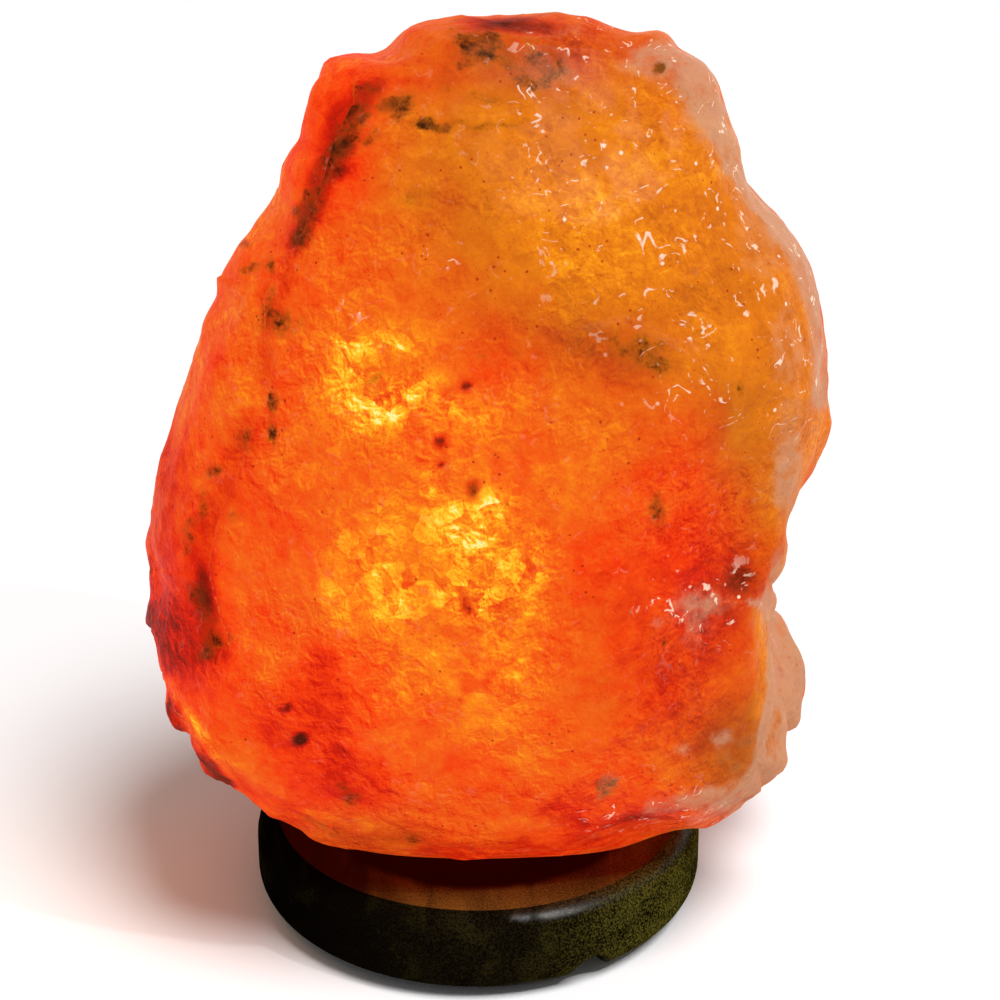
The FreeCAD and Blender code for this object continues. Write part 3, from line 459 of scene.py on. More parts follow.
@dataclass(frozen=True)
class StainedWood:
    """Dark stained and oiled wood with fine open pores, bare brown inside the recess, with painted light on
    the rim's right and painted red shade in the recess.
    """

    dark: Colour = (0.0022, 0.0014, 0.0008)
    brown: Colour = (0.012, 0.0085, 0.0030)
    # Olive for the rim's pores where light falls, painted light
    olive: Colour = (0.115, 0.102, 0.014)
    bare: Colour = (0.230, 0.085, 0.012)
    # The dark red of the painted shade in the recess
    deep: Colour = (0.030, 0.002, 0.001)
    pore_size: float = 0.55
    figure_size: float = 10.0
    recess_radius: float = 0.052
    recess_level: float = 0.0229
    edge_radius: float = 0.0535
    edge_width: float = 0.0030

    def build(self) -> bpy.types.Material:
        """Make the material. Places are in metres here. The rim's pores turn olive on its right, painted
        light, the recess has dark red painted shade in its middle and on its left, and its edge is worn to
        a shine at the right.

        Returns:
            The material.
        """
        graph = Graph("stained_wood")
        parts = graph.node("ShaderNodeSeparateXYZ", {}, {0: graph.place()}, 0).socket.node
        across, along, up = (Value(graph, parts.outputs[axis]) for axis in range(3))
        reach = graph.maths("SQRT", across * across + along * along)
        pores = graph.grain(self.pore_size, 2.0, 0.7)
        figure = graph.grain(self.figure_size, 4.0, 0.6, 0.8, (1.0, 0.22, 1.0))
        uneven = figure - 0.5
        mottled = (pores * 0.75 + figure * 0.25).step(0.40, 0.64)
        # Painted light: the rim turns brown and olive towards its right, where light falls, and near black
        # on its left
        side = (across - along * 0.15).step(0.016, 0.060) * 0.95 + figure.step(0.5, 0.7) * 0.06
        painted_lit_brown = graph.mix(across.step(-0.045, 0.0), self.dark, self.brown)
        rim = graph.mix(mottled, self.dark, graph.mix(side.held(), painted_lit_brown, self.olive))
        inside = reach.step(self.recess_radius + 0.2 * MM, self.recess_radius - 0.2 * MM)
        inside = inside * up.step(self.recess_level - 1.5 * MM, self.recess_level - 0.9 * MM)
        floor = graph.mix((pores * 0.6 + figure * 0.4).step(0.25, 0.75), self.brown, self.bare)
        # Painted shade: the recess floor is dark red in its middle, under the crystal, and on its left
        middle = (reach + uneven * 0.004).step(0.0435, 0.0395)
        shaded = (across + uneven * 0.02).step(-0.006, -0.034) * 0.85
        floor = graph.mix(1.0 - (1.0 - middle) * (1.0 - shaded), floor, self.deep)
        worn = abs(reach - self.edge_radius).step(self.edge_width, 0.0005)
        worn = worn * (across + uneven * 0.05).step(0.006, 0.020)
        return graph.finish(
            Base_Color=graph.mix(inside, rim, floor),
            Roughness=(0.46 + (pores - 0.5) * 0.5 + inside * 0.2).held(),
            Specular_IOR_Level=0.0,
            Coat_Weight=worn * (pores * 0.4 + 0.30),
            Coat_Roughness=0.30,
            Normal=graph.bump(pores, 0.10, graph.bump(figure, 0.12)),
        )


@dataclass(frozen=True)
class PlainFinish:
    """A finish of one colour with fine clouds, a grain that varies its gloss, and a light bump."""

    name: str
    colour: Colour
    roughness: float
    metallic: float = 0.0
    grain: float = 1.5
    clouding: float = 0.12
    bump: float = 0.02
    stretch: Point | None = None
    transmission: float = 0.0
    coat: float = 0.0

    def build(self) -> bpy.types.Material:
        """Make the material, a little darker where its noise is low.

        Returns:
            The material.
        """
        graph = Graph(self.name)
        fine = graph.grain(self.grain, 4.0, 0.6, 0.0, self.stretch)
        broad = graph.grain(self.grain * 9, 3.0)
        darker = tuple(channel * (1 - 2 * self.clouding) for channel in self.colour)
        return graph.finish(
            Base_Color=graph.mix((fine * 0.5 + broad * 0.5).step(0.3, 0.7), darker, self.colour),
            Metallic=self.metallic,
            Roughness=(self.roughness + (fine - 0.5) * 0.3).held(),
            Transmission_Weight=self.transmission,
            Coat_Weight=self.coat,
            Normal=graph.bump(fine, self.bump),
        )


@dataclass(frozen=True)
class GlowingWire:
    """Tungsten wire at its glow, paler in patches."""

    wire: Colour = (0.2, 0.1, 0.05)
    hot: Colour = (1.0, 0.80, 0.42)
    cool: Colour = (1.0, 0.48, 0.13)
    strength: float = 6.0

    def build(self) -> bpy.types.Material:
        """Make the material, which gives off light.

        Returns:
            The material.
        """
        graph = Graph("glowing_filament")
        return graph.finish(
            Base_Color=self.wire,
            Roughness=0.5,
            Emission_Color=graph.mix(graph.grain(2.0).step(0.4, 0.6), self.cool, self.hot),
            Emission_Strength=self.strength,
        )


class Finish(Enum):
    """The finishes of the lamp's hard parts."""

    PAD = PlainFinish("soft_pad", (0.035, 0.035, 0.036), 0.85, grain=0.6, bump=0.06)
    ZINC = PlainFinish("zinc_plated_steel", (0.60, 0.60, 0.57), 0.30, 1.0, grain=1.2)
    SPRING = PlainFinish("spring_steel", (0.42, 0.43, 0.46), 0.26, 1.0, grain=0.9, stretch=(1.0, 1.0, 0.12))
    NYLON = PlainFinish("grey_nylon", (0.55, 0.55, 0.53), 0.5)
    SHELL = PlainFinish("black_moulding", (0.018, 0.016, 0.015), 0.28, grain=2.4, bump=0.015, coat=0.2)
    PORCELAIN = PlainFinish("porcelain", (0.80, 0.78, 0.73), 0.35, grain=2.0, clouding=0.04)
    BRASS = PlainFinish("drawn_brass", (0.70, 0.49, 0.20), 0.24, 1.0)
    CAP = PlainFinish("pressed_cap", (0.70, 0.69, 0.65), 0.25, 1.0)
    SOLDER = PlainFinish("solder", (0.46, 0.46, 0.48), 0.42, 1.0, grain=0.8, bump=0.05)
    VITRITE = PlainFinish("vitrified_glass", (0.012, 0.012, 0.015), 0.12, clouding=0.02)
    GLASS = PlainFinish(
        "clear_glass", (0.97, 0.98, 0.97), 0.03, grain=8.0, clouding=0.01, bump=0.002, transmission=1.0
    )
    NICKEL = PlainFinish("nickel_wire", (0.52, 0.50, 0.47), 0.3, 1.0, grain=0.5)

    def build(self) -> bpy.types.Material:
        """Make the material."""
        return self.value.build()


# ---------------------------------------------------------------- grids and noise


PRIMES = (73856093, 19349663, 83492791)
POSITIVE = 0x7FFFFFFF
LOW_BITS = 0xFFFFFF


def cell_share(cells: np.ndarray, seed: int) -> np.ndarray:
    """A fixed random share for each cell of a 3-D lattice: its three numbers and the seed, multiplied by
    large numbers, folded together and cut to 24 bits.

    Args:
        cells: Whole numbers, three in the last axis.
        seed: Another whole number, for another set of shares.

    Returns:
        Shares from 0 to 1.
    """
    whole = cells.astype(np.int64)
    mixed = whole[..., 0] * PRIMES[0] ^ whole[..., 1] * PRIMES[1] ^ whole[..., 2] * PRIMES[2]
    mixed = (mixed ^ (seed * 2654435 + 97)) * 1274126177 & POSITIVE
    mixed = (mixed ^ (mixed >> 15)) * 2246822519 & POSITIVE
    return ((mixed ^ (mixed >> 13)) & LOW_BITS) / float(LOW_BITS)


def value_noise(points: np.ndarray, size: float, seed: int) -> np.ndarray:
    """Smooth noise: random values a lattice cell apart, blended by 3t^2 - 2t^3.

    Args:
        points: Where, in millimetres.
        size: How far apart the values are, in millimetres.
        seed: Which set of values.

    Returns:
        The noise, from -1 to 1.
    """
    scaled = points / size
    home = np.floor(scaled).astype(np.int64)
    share = scaled - home
    ease = share * share * (3 - 2 * share)
    total = np.zeros(points.shape[:-1])
    for corner in itertools.product((0, 1), repeat=3):
        weight = np.prod(np.where(corner, ease, 1 - ease), axis=-1)
        total += weight * cell_share(home + np.array(corner), seed)
    return 2 * total - 1


def layered_noise(points: np.ndarray, size: float, layers: int, seed: int) -> np.ndarray:
    """Noise in layers, each half as large and half as strong as the one before.

    Args:
        points: Where, in millimetres.
        size: The size of the first layer, in millimetres.
        layers: How many there are.
        seed: Which set of values the first layer has.

    Returns:
        The noise, from -1 to 1.
    """
    total = np.zeros(points.shape[:-1])
    for layer in range(layers):
        total += value_noise(points, size / 2**layer, seed + layer) / 2**layer
    return total / (2 - 2.0 ** (1 - layers))


def scoop_scars(points: np.ndarray, size: float, lean: float, bowl: float, seed: int) -> np.ndarray:
    """Shell-like scars as hewn salt has them: at each point the lowest of the tilted bowls round it.
    A bowl's height is its own level, plus its lean times the way from its middle, plus the square of that
    way.

    Args:
        points: Where, in millimetres.
        size: How far apart the bowls are, in millimetres.
        lean: The steepest lean of a bowl.
        bowl: How strongly it is dished.
        seed: Which set of bowls.

    Returns:
        Heights in millimetres, about 0 on average.
    """
    scaled = points / size
    home = np.floor(scaled)
    lowest = np.full(points.shape[:-1], np.inf)
    for offset in itertools.product((-1, 0, 1), repeat=3):
        cell = home + np.array(offset)
        shares = np.stack([cell_share(cell, seed + number) for number in range(7)], axis=-1)
        gap = scaled - (cell + 0.1 + 0.8 * shares[..., :3])
        tilt = (2 * shares[..., 3:6] - 1) * lean
        height = 0.3 * shares[..., 6] + np.sum(gap * tilt, axis=-1) + bowl * np.sum(gap * gap, axis=-1)
        lowest = np.minimum(lowest, height)
    return (lowest - np.median(lowest)) * size


def through_points(knots: np.ndarray, rows: np.ndarray, at: np.ndarray) -> np.ndarray:
    """Values on smooth cubic arcs through given rows: on each span the Hermite cubic whose slopes are those
    from the row before to the row after.

    Args:
        knots: Where the rows lie, rising.
        rows: The rows, along the first axis.
        at: Where to read.

    Returns:
        The values, one row for each place.
    """
    slopes = np.gradient(rows, knots, axis=0)
    span = np.clip(np.searchsorted(knots, at, side="right") - 1, 0, len(knots) - 2)
    width = (knots[span + 1] - knots[span]).reshape(-1, *[1] * (rows.ndim - 1))
    t = ((at - knots[span]) / (knots[span + 1] - knots[span])).reshape(width.shape)
    start = (1 + 2 * t) * (1 - t) ** 2 * rows[span] + t * (1 - t) ** 2 * width * slopes[span]
    end = t**2 * (3 - 2 * t) * rows[span + 1] + t**2 * (t - 1) * width * slopes[span + 1]
    return start + end


def round_through(rows: np.ndarray, count: int) -> np.ndarray:
    """Closed rings: the same cubic arcs, read round and round.

    Args:
        rows: The points that the rings go through, one row after another.
        count: How many points each ring gets.

    Returns:
        The rings' points, along the first axis.
    """
    wrapped = np.concatenate([rows[-2:], rows, rows[:3]])
    knots = np.arange(-2, len(rows) + 3, dtype=float)
    return through_points(knots, wrapped, np.arange(count) * len(rows) / count)


def soft_over(height: np.ndarray, softness: float) -> np.ndarray:
    """How far a height is above 0, with the corner at 0 rounded: half of h plus the root of h^2 + s^2."""
    return 0.5 * (height + np.sqrt(height * height + softness * softness))


def grid_normals(grid: np.ndarray) -> np.ndarray:
    """Outward normals of a grid: the cross product of the step along a row and the step along a column.

    Args:
        grid: Points whose rows rise and whose columns go round anticlockwise.

    Returns:
        The normals, each 1 long.
    """
    around = np.roll(grid, -1, axis=1) - np.roll(grid, 1, axis=1)
    upwards = np.gradient(grid, axis=0)
    normal = np.cross(around, upwards)
    return normal / np.maximum(np.linalg.norm(normal, axis=-1, keepdims=True), 1e-9)


def grid_faces(rows: int, columns: int, looped: bool = False) -> np.ndarray:
    """The quads of a grid of points whose columns go all the way round: each has its corners at a point,
    at the next one in its row, and at those two in the row above.

    Args:
        rows: How many rows the grid has.
        columns: How many columns it has.
        looped: Whether its last row joins its first too.

    Returns:
        The points' numbers, four for each quad.
    """
    row, column = np.meshgrid(np.arange(rows if looped else rows - 1), np.arange(columns), indexing="ij")
    after, above = (column + 1) % columns, (row + 1) % rows * columns
    corners = (row * columns + column, row * columns + after, above + after, above + column)
    return np.stack(corners, axis=-1).reshape(-1, 4)


def add_object(name: str, data: Any) -> bpy.types.Object:
    """Add an object at the origin.

    Args:
        name: Its name.
        data: Its mesh, light or camera.

    Returns:
        The object.
    """
    made = bpy.data.objects.new(name, data)
    bpy.context.scene.collection.objects.link(made)
    return made


def make_piece(
    name: str,
    grid: np.ndarray,
    looped: bool = False,
    foot: Sequence[float] | None = None,
    head: Sequence[float] | None = None,
    painted: Mapping[str, np.ndarray] | None = None,
) -> bpy.types.Object:
    """Put a grid of points into a mesh object.

    Args:
        name: The piece's name.
        grid: Points in millimetres, rows by columns by three.
        looped: Whether the last row joins the first, as in a tube.
        foot: A point that closes the first row, if there is one.
        head: A point that closes the last row, if there is one.
        painted: Numbers for the grid's points, by name.

    Returns:
        The object, at the origin.
    """
    rows, columns = grid.shape[:2]
    points = grid.reshape(-1, 3)
    faces = grid_faces(rows, columns, looped).tolist()
    ring = np.arange(columns)
    after = (ring + 1) % columns
    top = (rows - 1) * columns
    for end, first, second in ((foot, after, ring), (head, top + ring, top + after)):
        if end is not None:
            faces += np.stack([np.full(columns, len(points)), first, second], axis=-1).tolist()
            points = np.vstack([points, end])
    mesh = bpy.data.meshes.new(name)
    mesh.from_pydata((points * MM).tolist(), [], faces)
    mesh.polygons.foreach_set("use_smooth", np.ones(len(mesh.polygons), dtype=bool))
    for label, numbers in (painted or {}).items():
        layer = mesh.attributes.new(label, "FLOAT", "POINT")
        padded = np.concatenate([numbers.reshape(-1), np.zeros(len(points) - numbers.size)])
        layer.data.foreach_set("value", padded.astype(np.float32))
    mesh.update()
    return add_object(name, mesh)


def settle(
    piece: bpy.types.Object, body: str, slot: str, material: bpy.types.Material, *nodes: str
) -> None:
    """Give a new piece its finish, let it ride on a body and let it stand for the frame's nodes.

    Args:
        piece: The piece.
        body: The body that it rides on.
        slot: The name of its kind of material. Not used.
        material: Its finish.
        *nodes: The nodes that it stands for.
    """
    piece.data.materials.append(material)
    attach(piece, body)
    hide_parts(*nodes)
    LOG.info("%s: %d faces on %s", piece.name, len(piece.data.polygons), body)


def dress(material: bpy.types.Material, *nodes: str) -> None:
    """Give nodes of the frame a finish.

    Args:
        material: The finish.
        *nodes: The nodes' names.
    """
    for node in nodes:
        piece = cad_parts[node]
        if not piece.material_slots:
            piece.data.materials.append(material)
        for slot in piece.material_slots:
            slot.material = material
        LOG.info("%s: %s", node, material.name)


# ---------------------------------------------------------------- the front view


@dataclass(frozen=True)
class FrontView:
    """Where the camera stands. Places on the crystal's front are given as it sees them: in thousandths of
    the view's width, from the top left corner."""

    look_at: Point = (5.63, 0.0, 109.2)
    distance: float = 670.8
    pitch: float = 24.3
    lens: float = 97.6
    sensor: float = 36.0

    def backwards(self) -> np.ndarray:
        """The way from the lamp to the camera."""
        tilt = math.radians(self.pitch)
        return np.array([0.0, -math.cos(tilt), math.sin(tilt)])

    def seen_at(self, points: np.ndarray) -> np.ndarray:
        """Where points are seen: their offsets along the view's two axes over their distance, times the
        lens.

        Args:
            points: Points in millimetres.

        Returns:
            Their places in the view.
        """
        back = self.backwards()
        offset = points - np.array(self.look_at) - back * self.distance
        away = -(offset @ back)
        zoom = 1000.0 * self.lens / self.sensor
        rise = offset @ np.array([0.0, back[2], -back[1]])
        return np.stack([500.0 + zoom * offset[..., 0] / away, 500.0 - zoom * rise / away], axis=-1)

    def facing(self, points: np.ndarray, normals: np.ndarray) -> np.ndarray:
        """How squarely a surface faces the camera: the cosine between its normal and the way there.

        Args:
            points: Points on the surface, in millimetres.
            normals: Its normals there.

        Returns:
            1 where it faces the camera straight on, and less than 0 where it is turned away.
        """
        towards = np.array(self.look_at) + self.backwards() * self.distance - points
        towards /= np.linalg.norm(towards, axis=-1, keepdims=True)
        return np.sum(towards * normals, axis=-1)


# ---------------------------------------------------------------- the crystal


@dataclass(frozen=True)
class Spot:
    """A soft patch: where its middle is seen, its half sizes across and up, how much it adds, and how far
    it is turned anticlockwise, in degrees."""

    across: float
    down: float
    half_width: float
    half_height: float
    amount: float
    turn: float = 0.0

    def strength(self, seen: np.ndarray) -> np.ndarray:
        """What it adds: its amount over one plus the fourth power of the way from its middle.

        Args:
            seen: Places in the front view.

        Returns:
            What it adds at each place.
        """
        turn = math.radians(self.turn)
        gap = seen - np.array([self.across, self.down])
        along = (gap[..., 0] * math.cos(turn) - gap[..., 1] * math.sin(turn)) / self.half_width
        over = (gap[..., 0] * math.sin(turn) + gap[..., 1] * math.cos(turn)) / self.half_height
        return self.amount / (1.0 + (along * along + over * over) ** 2)


@dataclass(frozen=True)
class Vein:
    """A streak along a line of places, with its half width and how much it adds."""

    line: tuple[Place, ...]
    half_width: float
    amount: float

    def strength(self, seen: np.ndarray) -> np.ndarray:
        """What it adds at places: its amount over one plus the fourth power of the way from the line."""
        way, _side, _past = line_places(seen, self.line)
        return self.amount / (1.0 + (way / self.half_width) ** 4)


def shapes(*rows: tuple[Any, ...]) -> tuple[Spot | Vein, ...]:
    """The shapes of a table.

    Args:
        *rows: A Spot's numbers, or a Vein's line and its two numbers, in the order of their fields.

    Returns:
        The shapes.
    """
    return tuple(Vein(*row) if isinstance(row[0], tuple) else Spot(*row) for row in rows)


@dataclass(frozen=True)
class Ledge:
    """An edge beyond which the surface steps back. It steps back on the left of its line as one goes along
    it, by so many millimetres, over a width, and comes out again over a longer way."""

    line: tuple[Place, ...]
    drop: float
    width: float
    fade: float

    def strength(self, seen: np.ndarray) -> np.ndarray:
        """How far it moves the surface: a smooth step down across its line, which fades with the way from
        the line and past the line's ends.

        Args:
            seen: Places in the front view.

        Returns:
            How far it moves the surface at each place, in millimetres.
        """
        way, side, past = line_places(seen, self.line)
        signed = way * side
        step = smooth_step(signed, -0.5 * self.width, 0.5 * self.width)
        beyond = np.exp(-((past / (2.0 * self.width)) ** 2))
        return -self.drop * step * beyond * np.exp(-((np.maximum(signed, 0.0) / self.fade) ** 2))


def line_places(seen: np.ndarray, line: Sequence[Place]) -> tuple[np.ndarray, np.ndarray, np.ndarray]:
    """How places lie to a line of straight runs.

    Args:
        seen: Places in the front view.
        line: The line's places.

    Returns:
        The least way to the line, the side that a place is on (1 is left, -1 right), and how far it is past
        an end.
    """
    nearest = np.full(seen.shape[:-1], np.inf)
    side = np.ones(seen.shape[:-1])
    past = np.zeros(seen.shape[:-1])
    for start, end in zip(np.array(line, float)[:-1], np.array(line, float)[1:]):
        run = end - start
        gap = seen - start
        free = gap @ run / (run @ run)
        share = np.clip(free, 0.0, 1.0)
        way = np.linalg.norm(gap - share[..., None] * run, axis=-1)
        closer = way < nearest
        left = gap[..., 0] * run[1] - gap[..., 1] * run[0] > 0
        nearest = np.where(closer, way, nearest)
        side = np.where(closer, np.where(left, 1.0, -1.0), side)
        past = np.where(closer, np.abs(free - share) * math.hypot(*run), past)
    return nearest, side, past


def smooth_step(height: np.ndarray, low: float, high: float) -> np.ndarray:
    """A step from 0 at the low end to 1 at the high end, by 3t^2 - 2t^3."""
    t = np.clip((height - low) / (high - low), 0.0, 1.0)
    return t * t * (3.0 - 2.0 * t)


# Soft swells and hollows of the front's outline, in millimetres out of the surface
SWELLS = shapes(
    (703, 72, 34, 34, 3.2), (668, 36, 22, 12, 2.6), (328, 78, 20, 24, 2.3), (572, 20, 56, 16, 2.2),
    (384, 46, 24, 14, -3.5), (308, 110, 14, 34, 1.6), (234, 258, 22, 34, 1.9), (206, 318, 12, 16, 0.7),
    (288, 165, 14, 26, 1.6), (140, 582, 20, 32, -2.6), (204, 765, 30, 34, 5.0), (784, 555, 14, 18, 2.4),
    (785, 780, 24, 24, 4.4), (800, 700, 18, 50, 2.4), (796, 730, 12, 18, 2.2), (786, 592, 14, 20, 6.0),
    (838, 385, 16, 34, -2.2), (180, 722, 14, 26, 3.2), (288, 832, 30, 14, -2.4), (655, 842, 50, 16, -2.4),
)
# Edges of flakes on the front
LEDGES: tuple[Ledge, ...] = (
    Ledge(
        ((222, 640), (205, 580), (212, 530), (268, 385), (262, 300), (300, 232), (330, 150), (352, 96)),
        3.2,
        9.0,
        42.0,
    ),
    Ledge(((236, 800), (207, 742), (178, 702), (158, 670), (150, 640)), 3.4, 6.0, 26.0),
    Ledge(((768, 590), (774, 650), (771, 720), (756, 782)), 3.0, 7.0, 30.0),
    Ledge(((400, 128), (432, 122), (470, 130), (520, 118)), -1.3, 7.0, 26.0),
    Ledge(((345, 395), (392, 372), (428, 352), (470, 340)), 1.1, 6.0, 26.0),
    Ledge(((640, 585), (690, 560), (742, 580)), 1.2, 7.0, 26.0),
    Ledge(((560, 330), (620, 318), (690, 350), (740, 400)), 1.0, 9.0, 40.0),
)
# What each mark adds on the front
MARKS: dict[Mark, tuple[Spot | Vein, ...]] = {
    Mark.GOLD: shapes(
        (490, 170, 120, 120, 0.65), (660, 220, 150, 170, 0.75), (775, 400, 62, 190, 0.75),
        (742, 765, 55, 55, 0.70), (800, 690, 26, 95, 0.80), (350, 842, 70, 24, 0.35),
        (330, 110, 55, 90, -0.45), (690, 520, 60, 90, -0.30), (185, 640, 46, 70, -0.40),
        (330, 720, 40, 70, -0.35), (((761, 612), (763, 660), (757, 716)), 8, 0.45),
        (455, 560, 60, 70, 0.20),
    ),
    Mark.GLOW: shapes(
        (335, 120, 46, 85, -0.05), (((376, 84), (345, 108), (331, 150), (318, 200), (298, 242)), 12, -0.20),
        (((298, 242), (282, 290), (270, 325), (268, 385)), 8, -0.12),
        (((250, 430), (225, 480), (206, 540), (202, 600), (216, 650)), 13, -0.14),
        (343, 146, 10, 11, -0.22), (340, 172, 8, 6, -0.25), (338, 385, 26, 30, 0.13),
        (388, 405, 44, 15, 0.23, 25), (372, 345, 50, 9, 0.12), (465, 415, 34, 26, 0.10),
        (470, 524, 32, 36, 0.18), (490, 505, 15, 18, 0.15, 30), (462, 550, 30, 14, 0.08, 15),
        (462, 600, 34, 18, 0.21), (431, 470, 8, 34, 0.12), (378, 560, 16, 28, 0.12, -20),
        (390, 612, 24, 22, 0.16), (345, 565, 30, 40, 0.10), (530, 572, 34, 26, 0.07, 25),
        (445, 540, 115, 165, 0.07), (515, 690, 44, 48, 0.06), (650, 195, 105, 85, 0.09),
        (555, 235, 44, 44, 0.08), (600, 352, 58, 30, -0.15, -12), (695, 500, 60, 105, -0.10),
        (520, 330, 60, 30, -0.08), (160, 470, 26, 140, -0.17), (640, 660, 85, 110, -0.14),
        (722, 600, 34, 50, -0.12), (330, 715, 24, 72, -0.15, 12), (292, 722, 32, 34, -0.10),
        (345, 770, 34, 20, -0.10), (180, 645, 30, 52, -0.24, 15), (205, 586, 8, 20, -0.20),
        (150, 618, 9, 26, -0.06), (((761, 612), (763, 660), (757, 716)), 6, 0.14),
        (739, 580, 16, 14, -0.18), (((146, 610), (154, 676), (166, 706)), 9, -0.16),
        (((162, 700), (186, 742), (226, 792)), 10, -0.30),
        (((160, 668), (182, 700), (209, 738), (236, 792)), 4, 0.16), (735, 745, 45, 55, -0.16),
        (520, 50, 120, 34, -0.14), (470, 491, 8, 10, -0.30), (470, 390, 5, 5, -0.55),
        (440, 443, 6, 5, -0.55), (441, 463, 4, 3, -0.45), (462, 600, 5, 9, -0.50), (468, 607, 5, 4, -0.40),
        (299, 738, 7, 5, -0.60, 30), (283, 706, 5, 4, -0.35), (480, 815, 170, 34, -0.09),
    ),
    Mark.CLAY: shapes(
        (((362, 108), (349, 128), (337, 156), (323, 182), (313, 204), (306, 230)), 12, 0.70),
        (368, 86, 12, 8, 0.60), (372, 137, 12, 10, 0.47), (360, 111, 9, 6, 0.67, 30),
        (388, 104, 8, 6, 0.90), (404, 101, 12, 9, 0.80, 30), (399, 116, 8, 5, 0.54),
        (426, 125, 10, 5, 1.05, -20), (441, 129, 9, 5, 0.85),
        (((445, 127), (461, 122), (478, 127), (520, 124)), 3, 0.56), (442, 88, 10, 6, 0.64),
        (463, 65, 9, 6, 0.80), (478, 38, 26, 20, 0.85), (((455, 20), (490, 15), (522, 19)), 5, 0.67),
        (541, 68, 32, 20, 0.86), (484, 100, 22, 6, 0.43), (657, 67, 8, 6, 1.35), (295, 211, 6, 9, 0.67),
        (300, 243, 8, 8, 0.54), (248, 245, 6, 5, 0.60), (272, 268, 5, 11, 0.80), (251, 268, 10, 7, 0.70),
        (266, 303, 7, 15, 0.74), (280, 325, 20, 13, 0.62), (272, 408, 5, 13, 0.80, -10),
        (271, 436, 4, 12, 0.60), (249, 440, 11, 15, 0.54), (214, 466, 8, 7, 0.67), (234, 520, 11, 7, 0.46),
        (((204, 494), (202, 514), (190, 530), (192, 548)), 8, 0.60), (197, 592, 8, 11, 0.62),
        (186, 588, 4, 9, 0.60), (213, 640, 14, 15, 0.64), (203, 650, 7, 6, 0.50), (207, 612, 12, 13, 0.51),
        (152, 566, 4, 9, 0.80), (624, 345, 56, 20, 0.48, -10), (652, 350, 14, 12, 0.42),
        (655, 512, 10, 28, 0.48, 18), (742, 388, 4, 8, 0.80), (665, 643, 3, 6, 0.86),
        (743, 752, 26, 26, 0.35), (350, 797, 15, 9, 0.72, -30), (405, 836, 22, 9, 0.56),
        (330, 828, 34, 9, 0.40, -20), (605, 787, 11, 12, 0.56, -25), (470, 491, 7, 10, 0.75),
        (500, 360, 18, 14, 0.43), (372, 378, 22, 6, 0.46, 15), (425, 200, 30, 14, 0.32),
    ),
    Mark.CRUST: shapes(
        (672, 58, 48, 22, 0.72), (704, 96, 20, 40, 0.60), (560, 28, 44, 11, 0.32), (520, 24, 11, 9, 0.85),
        (567, 74, 20, 13, 0.42),
        (((716, 112), (736, 170), (776, 215), (806, 265), (822, 320), (824, 400)), 12, 0.68),
        (640, 110, 60, 40, 0.10), (757, 250, 30, 44, 0.32), (784, 345, 20, 44, 0.36),
        (752, 470, 34, 40, 0.22), (792, 465, 14, 62, 0.62), (776, 574, 9, 24, 0.52), (756, 601, 8, 4, 0.70),
        (702, 604, 34, 18, 0.40), (697, 636, 18, 28, 0.32), (657, 620, 12, 6, 0.36, -25),
        (((770, 592), (772, 650), (769, 690), (763, 731), (758, 786)), 5, 0.80), (796, 690, 21, 92, 1.00),
        (((652, 808), (700, 800), (736, 800), (774, 770)), 11, 0.50), (720, 737, 10, 8, 0.46),
        (682, 752, 11, 8, 0.38), (738, 762, 40, 40, 0.26), (606, 785, 10, 16, 0.50, -25),
    ),
    Mark.GLOSS: shapes(
        (655, 165, 100, 120, 0.9), (700, 598, 46, 28, 1.0), (780, 320, 44, 90, 0.8),
        (700, 370, 46, 36, 0.6), (555, 75, 36, 36, 0.7), (440, 258, 12, 12, 1.0), (357, 303, 9, 9, 1.0),
        (650, 806, 70, 16, 0.5),
    ),
}


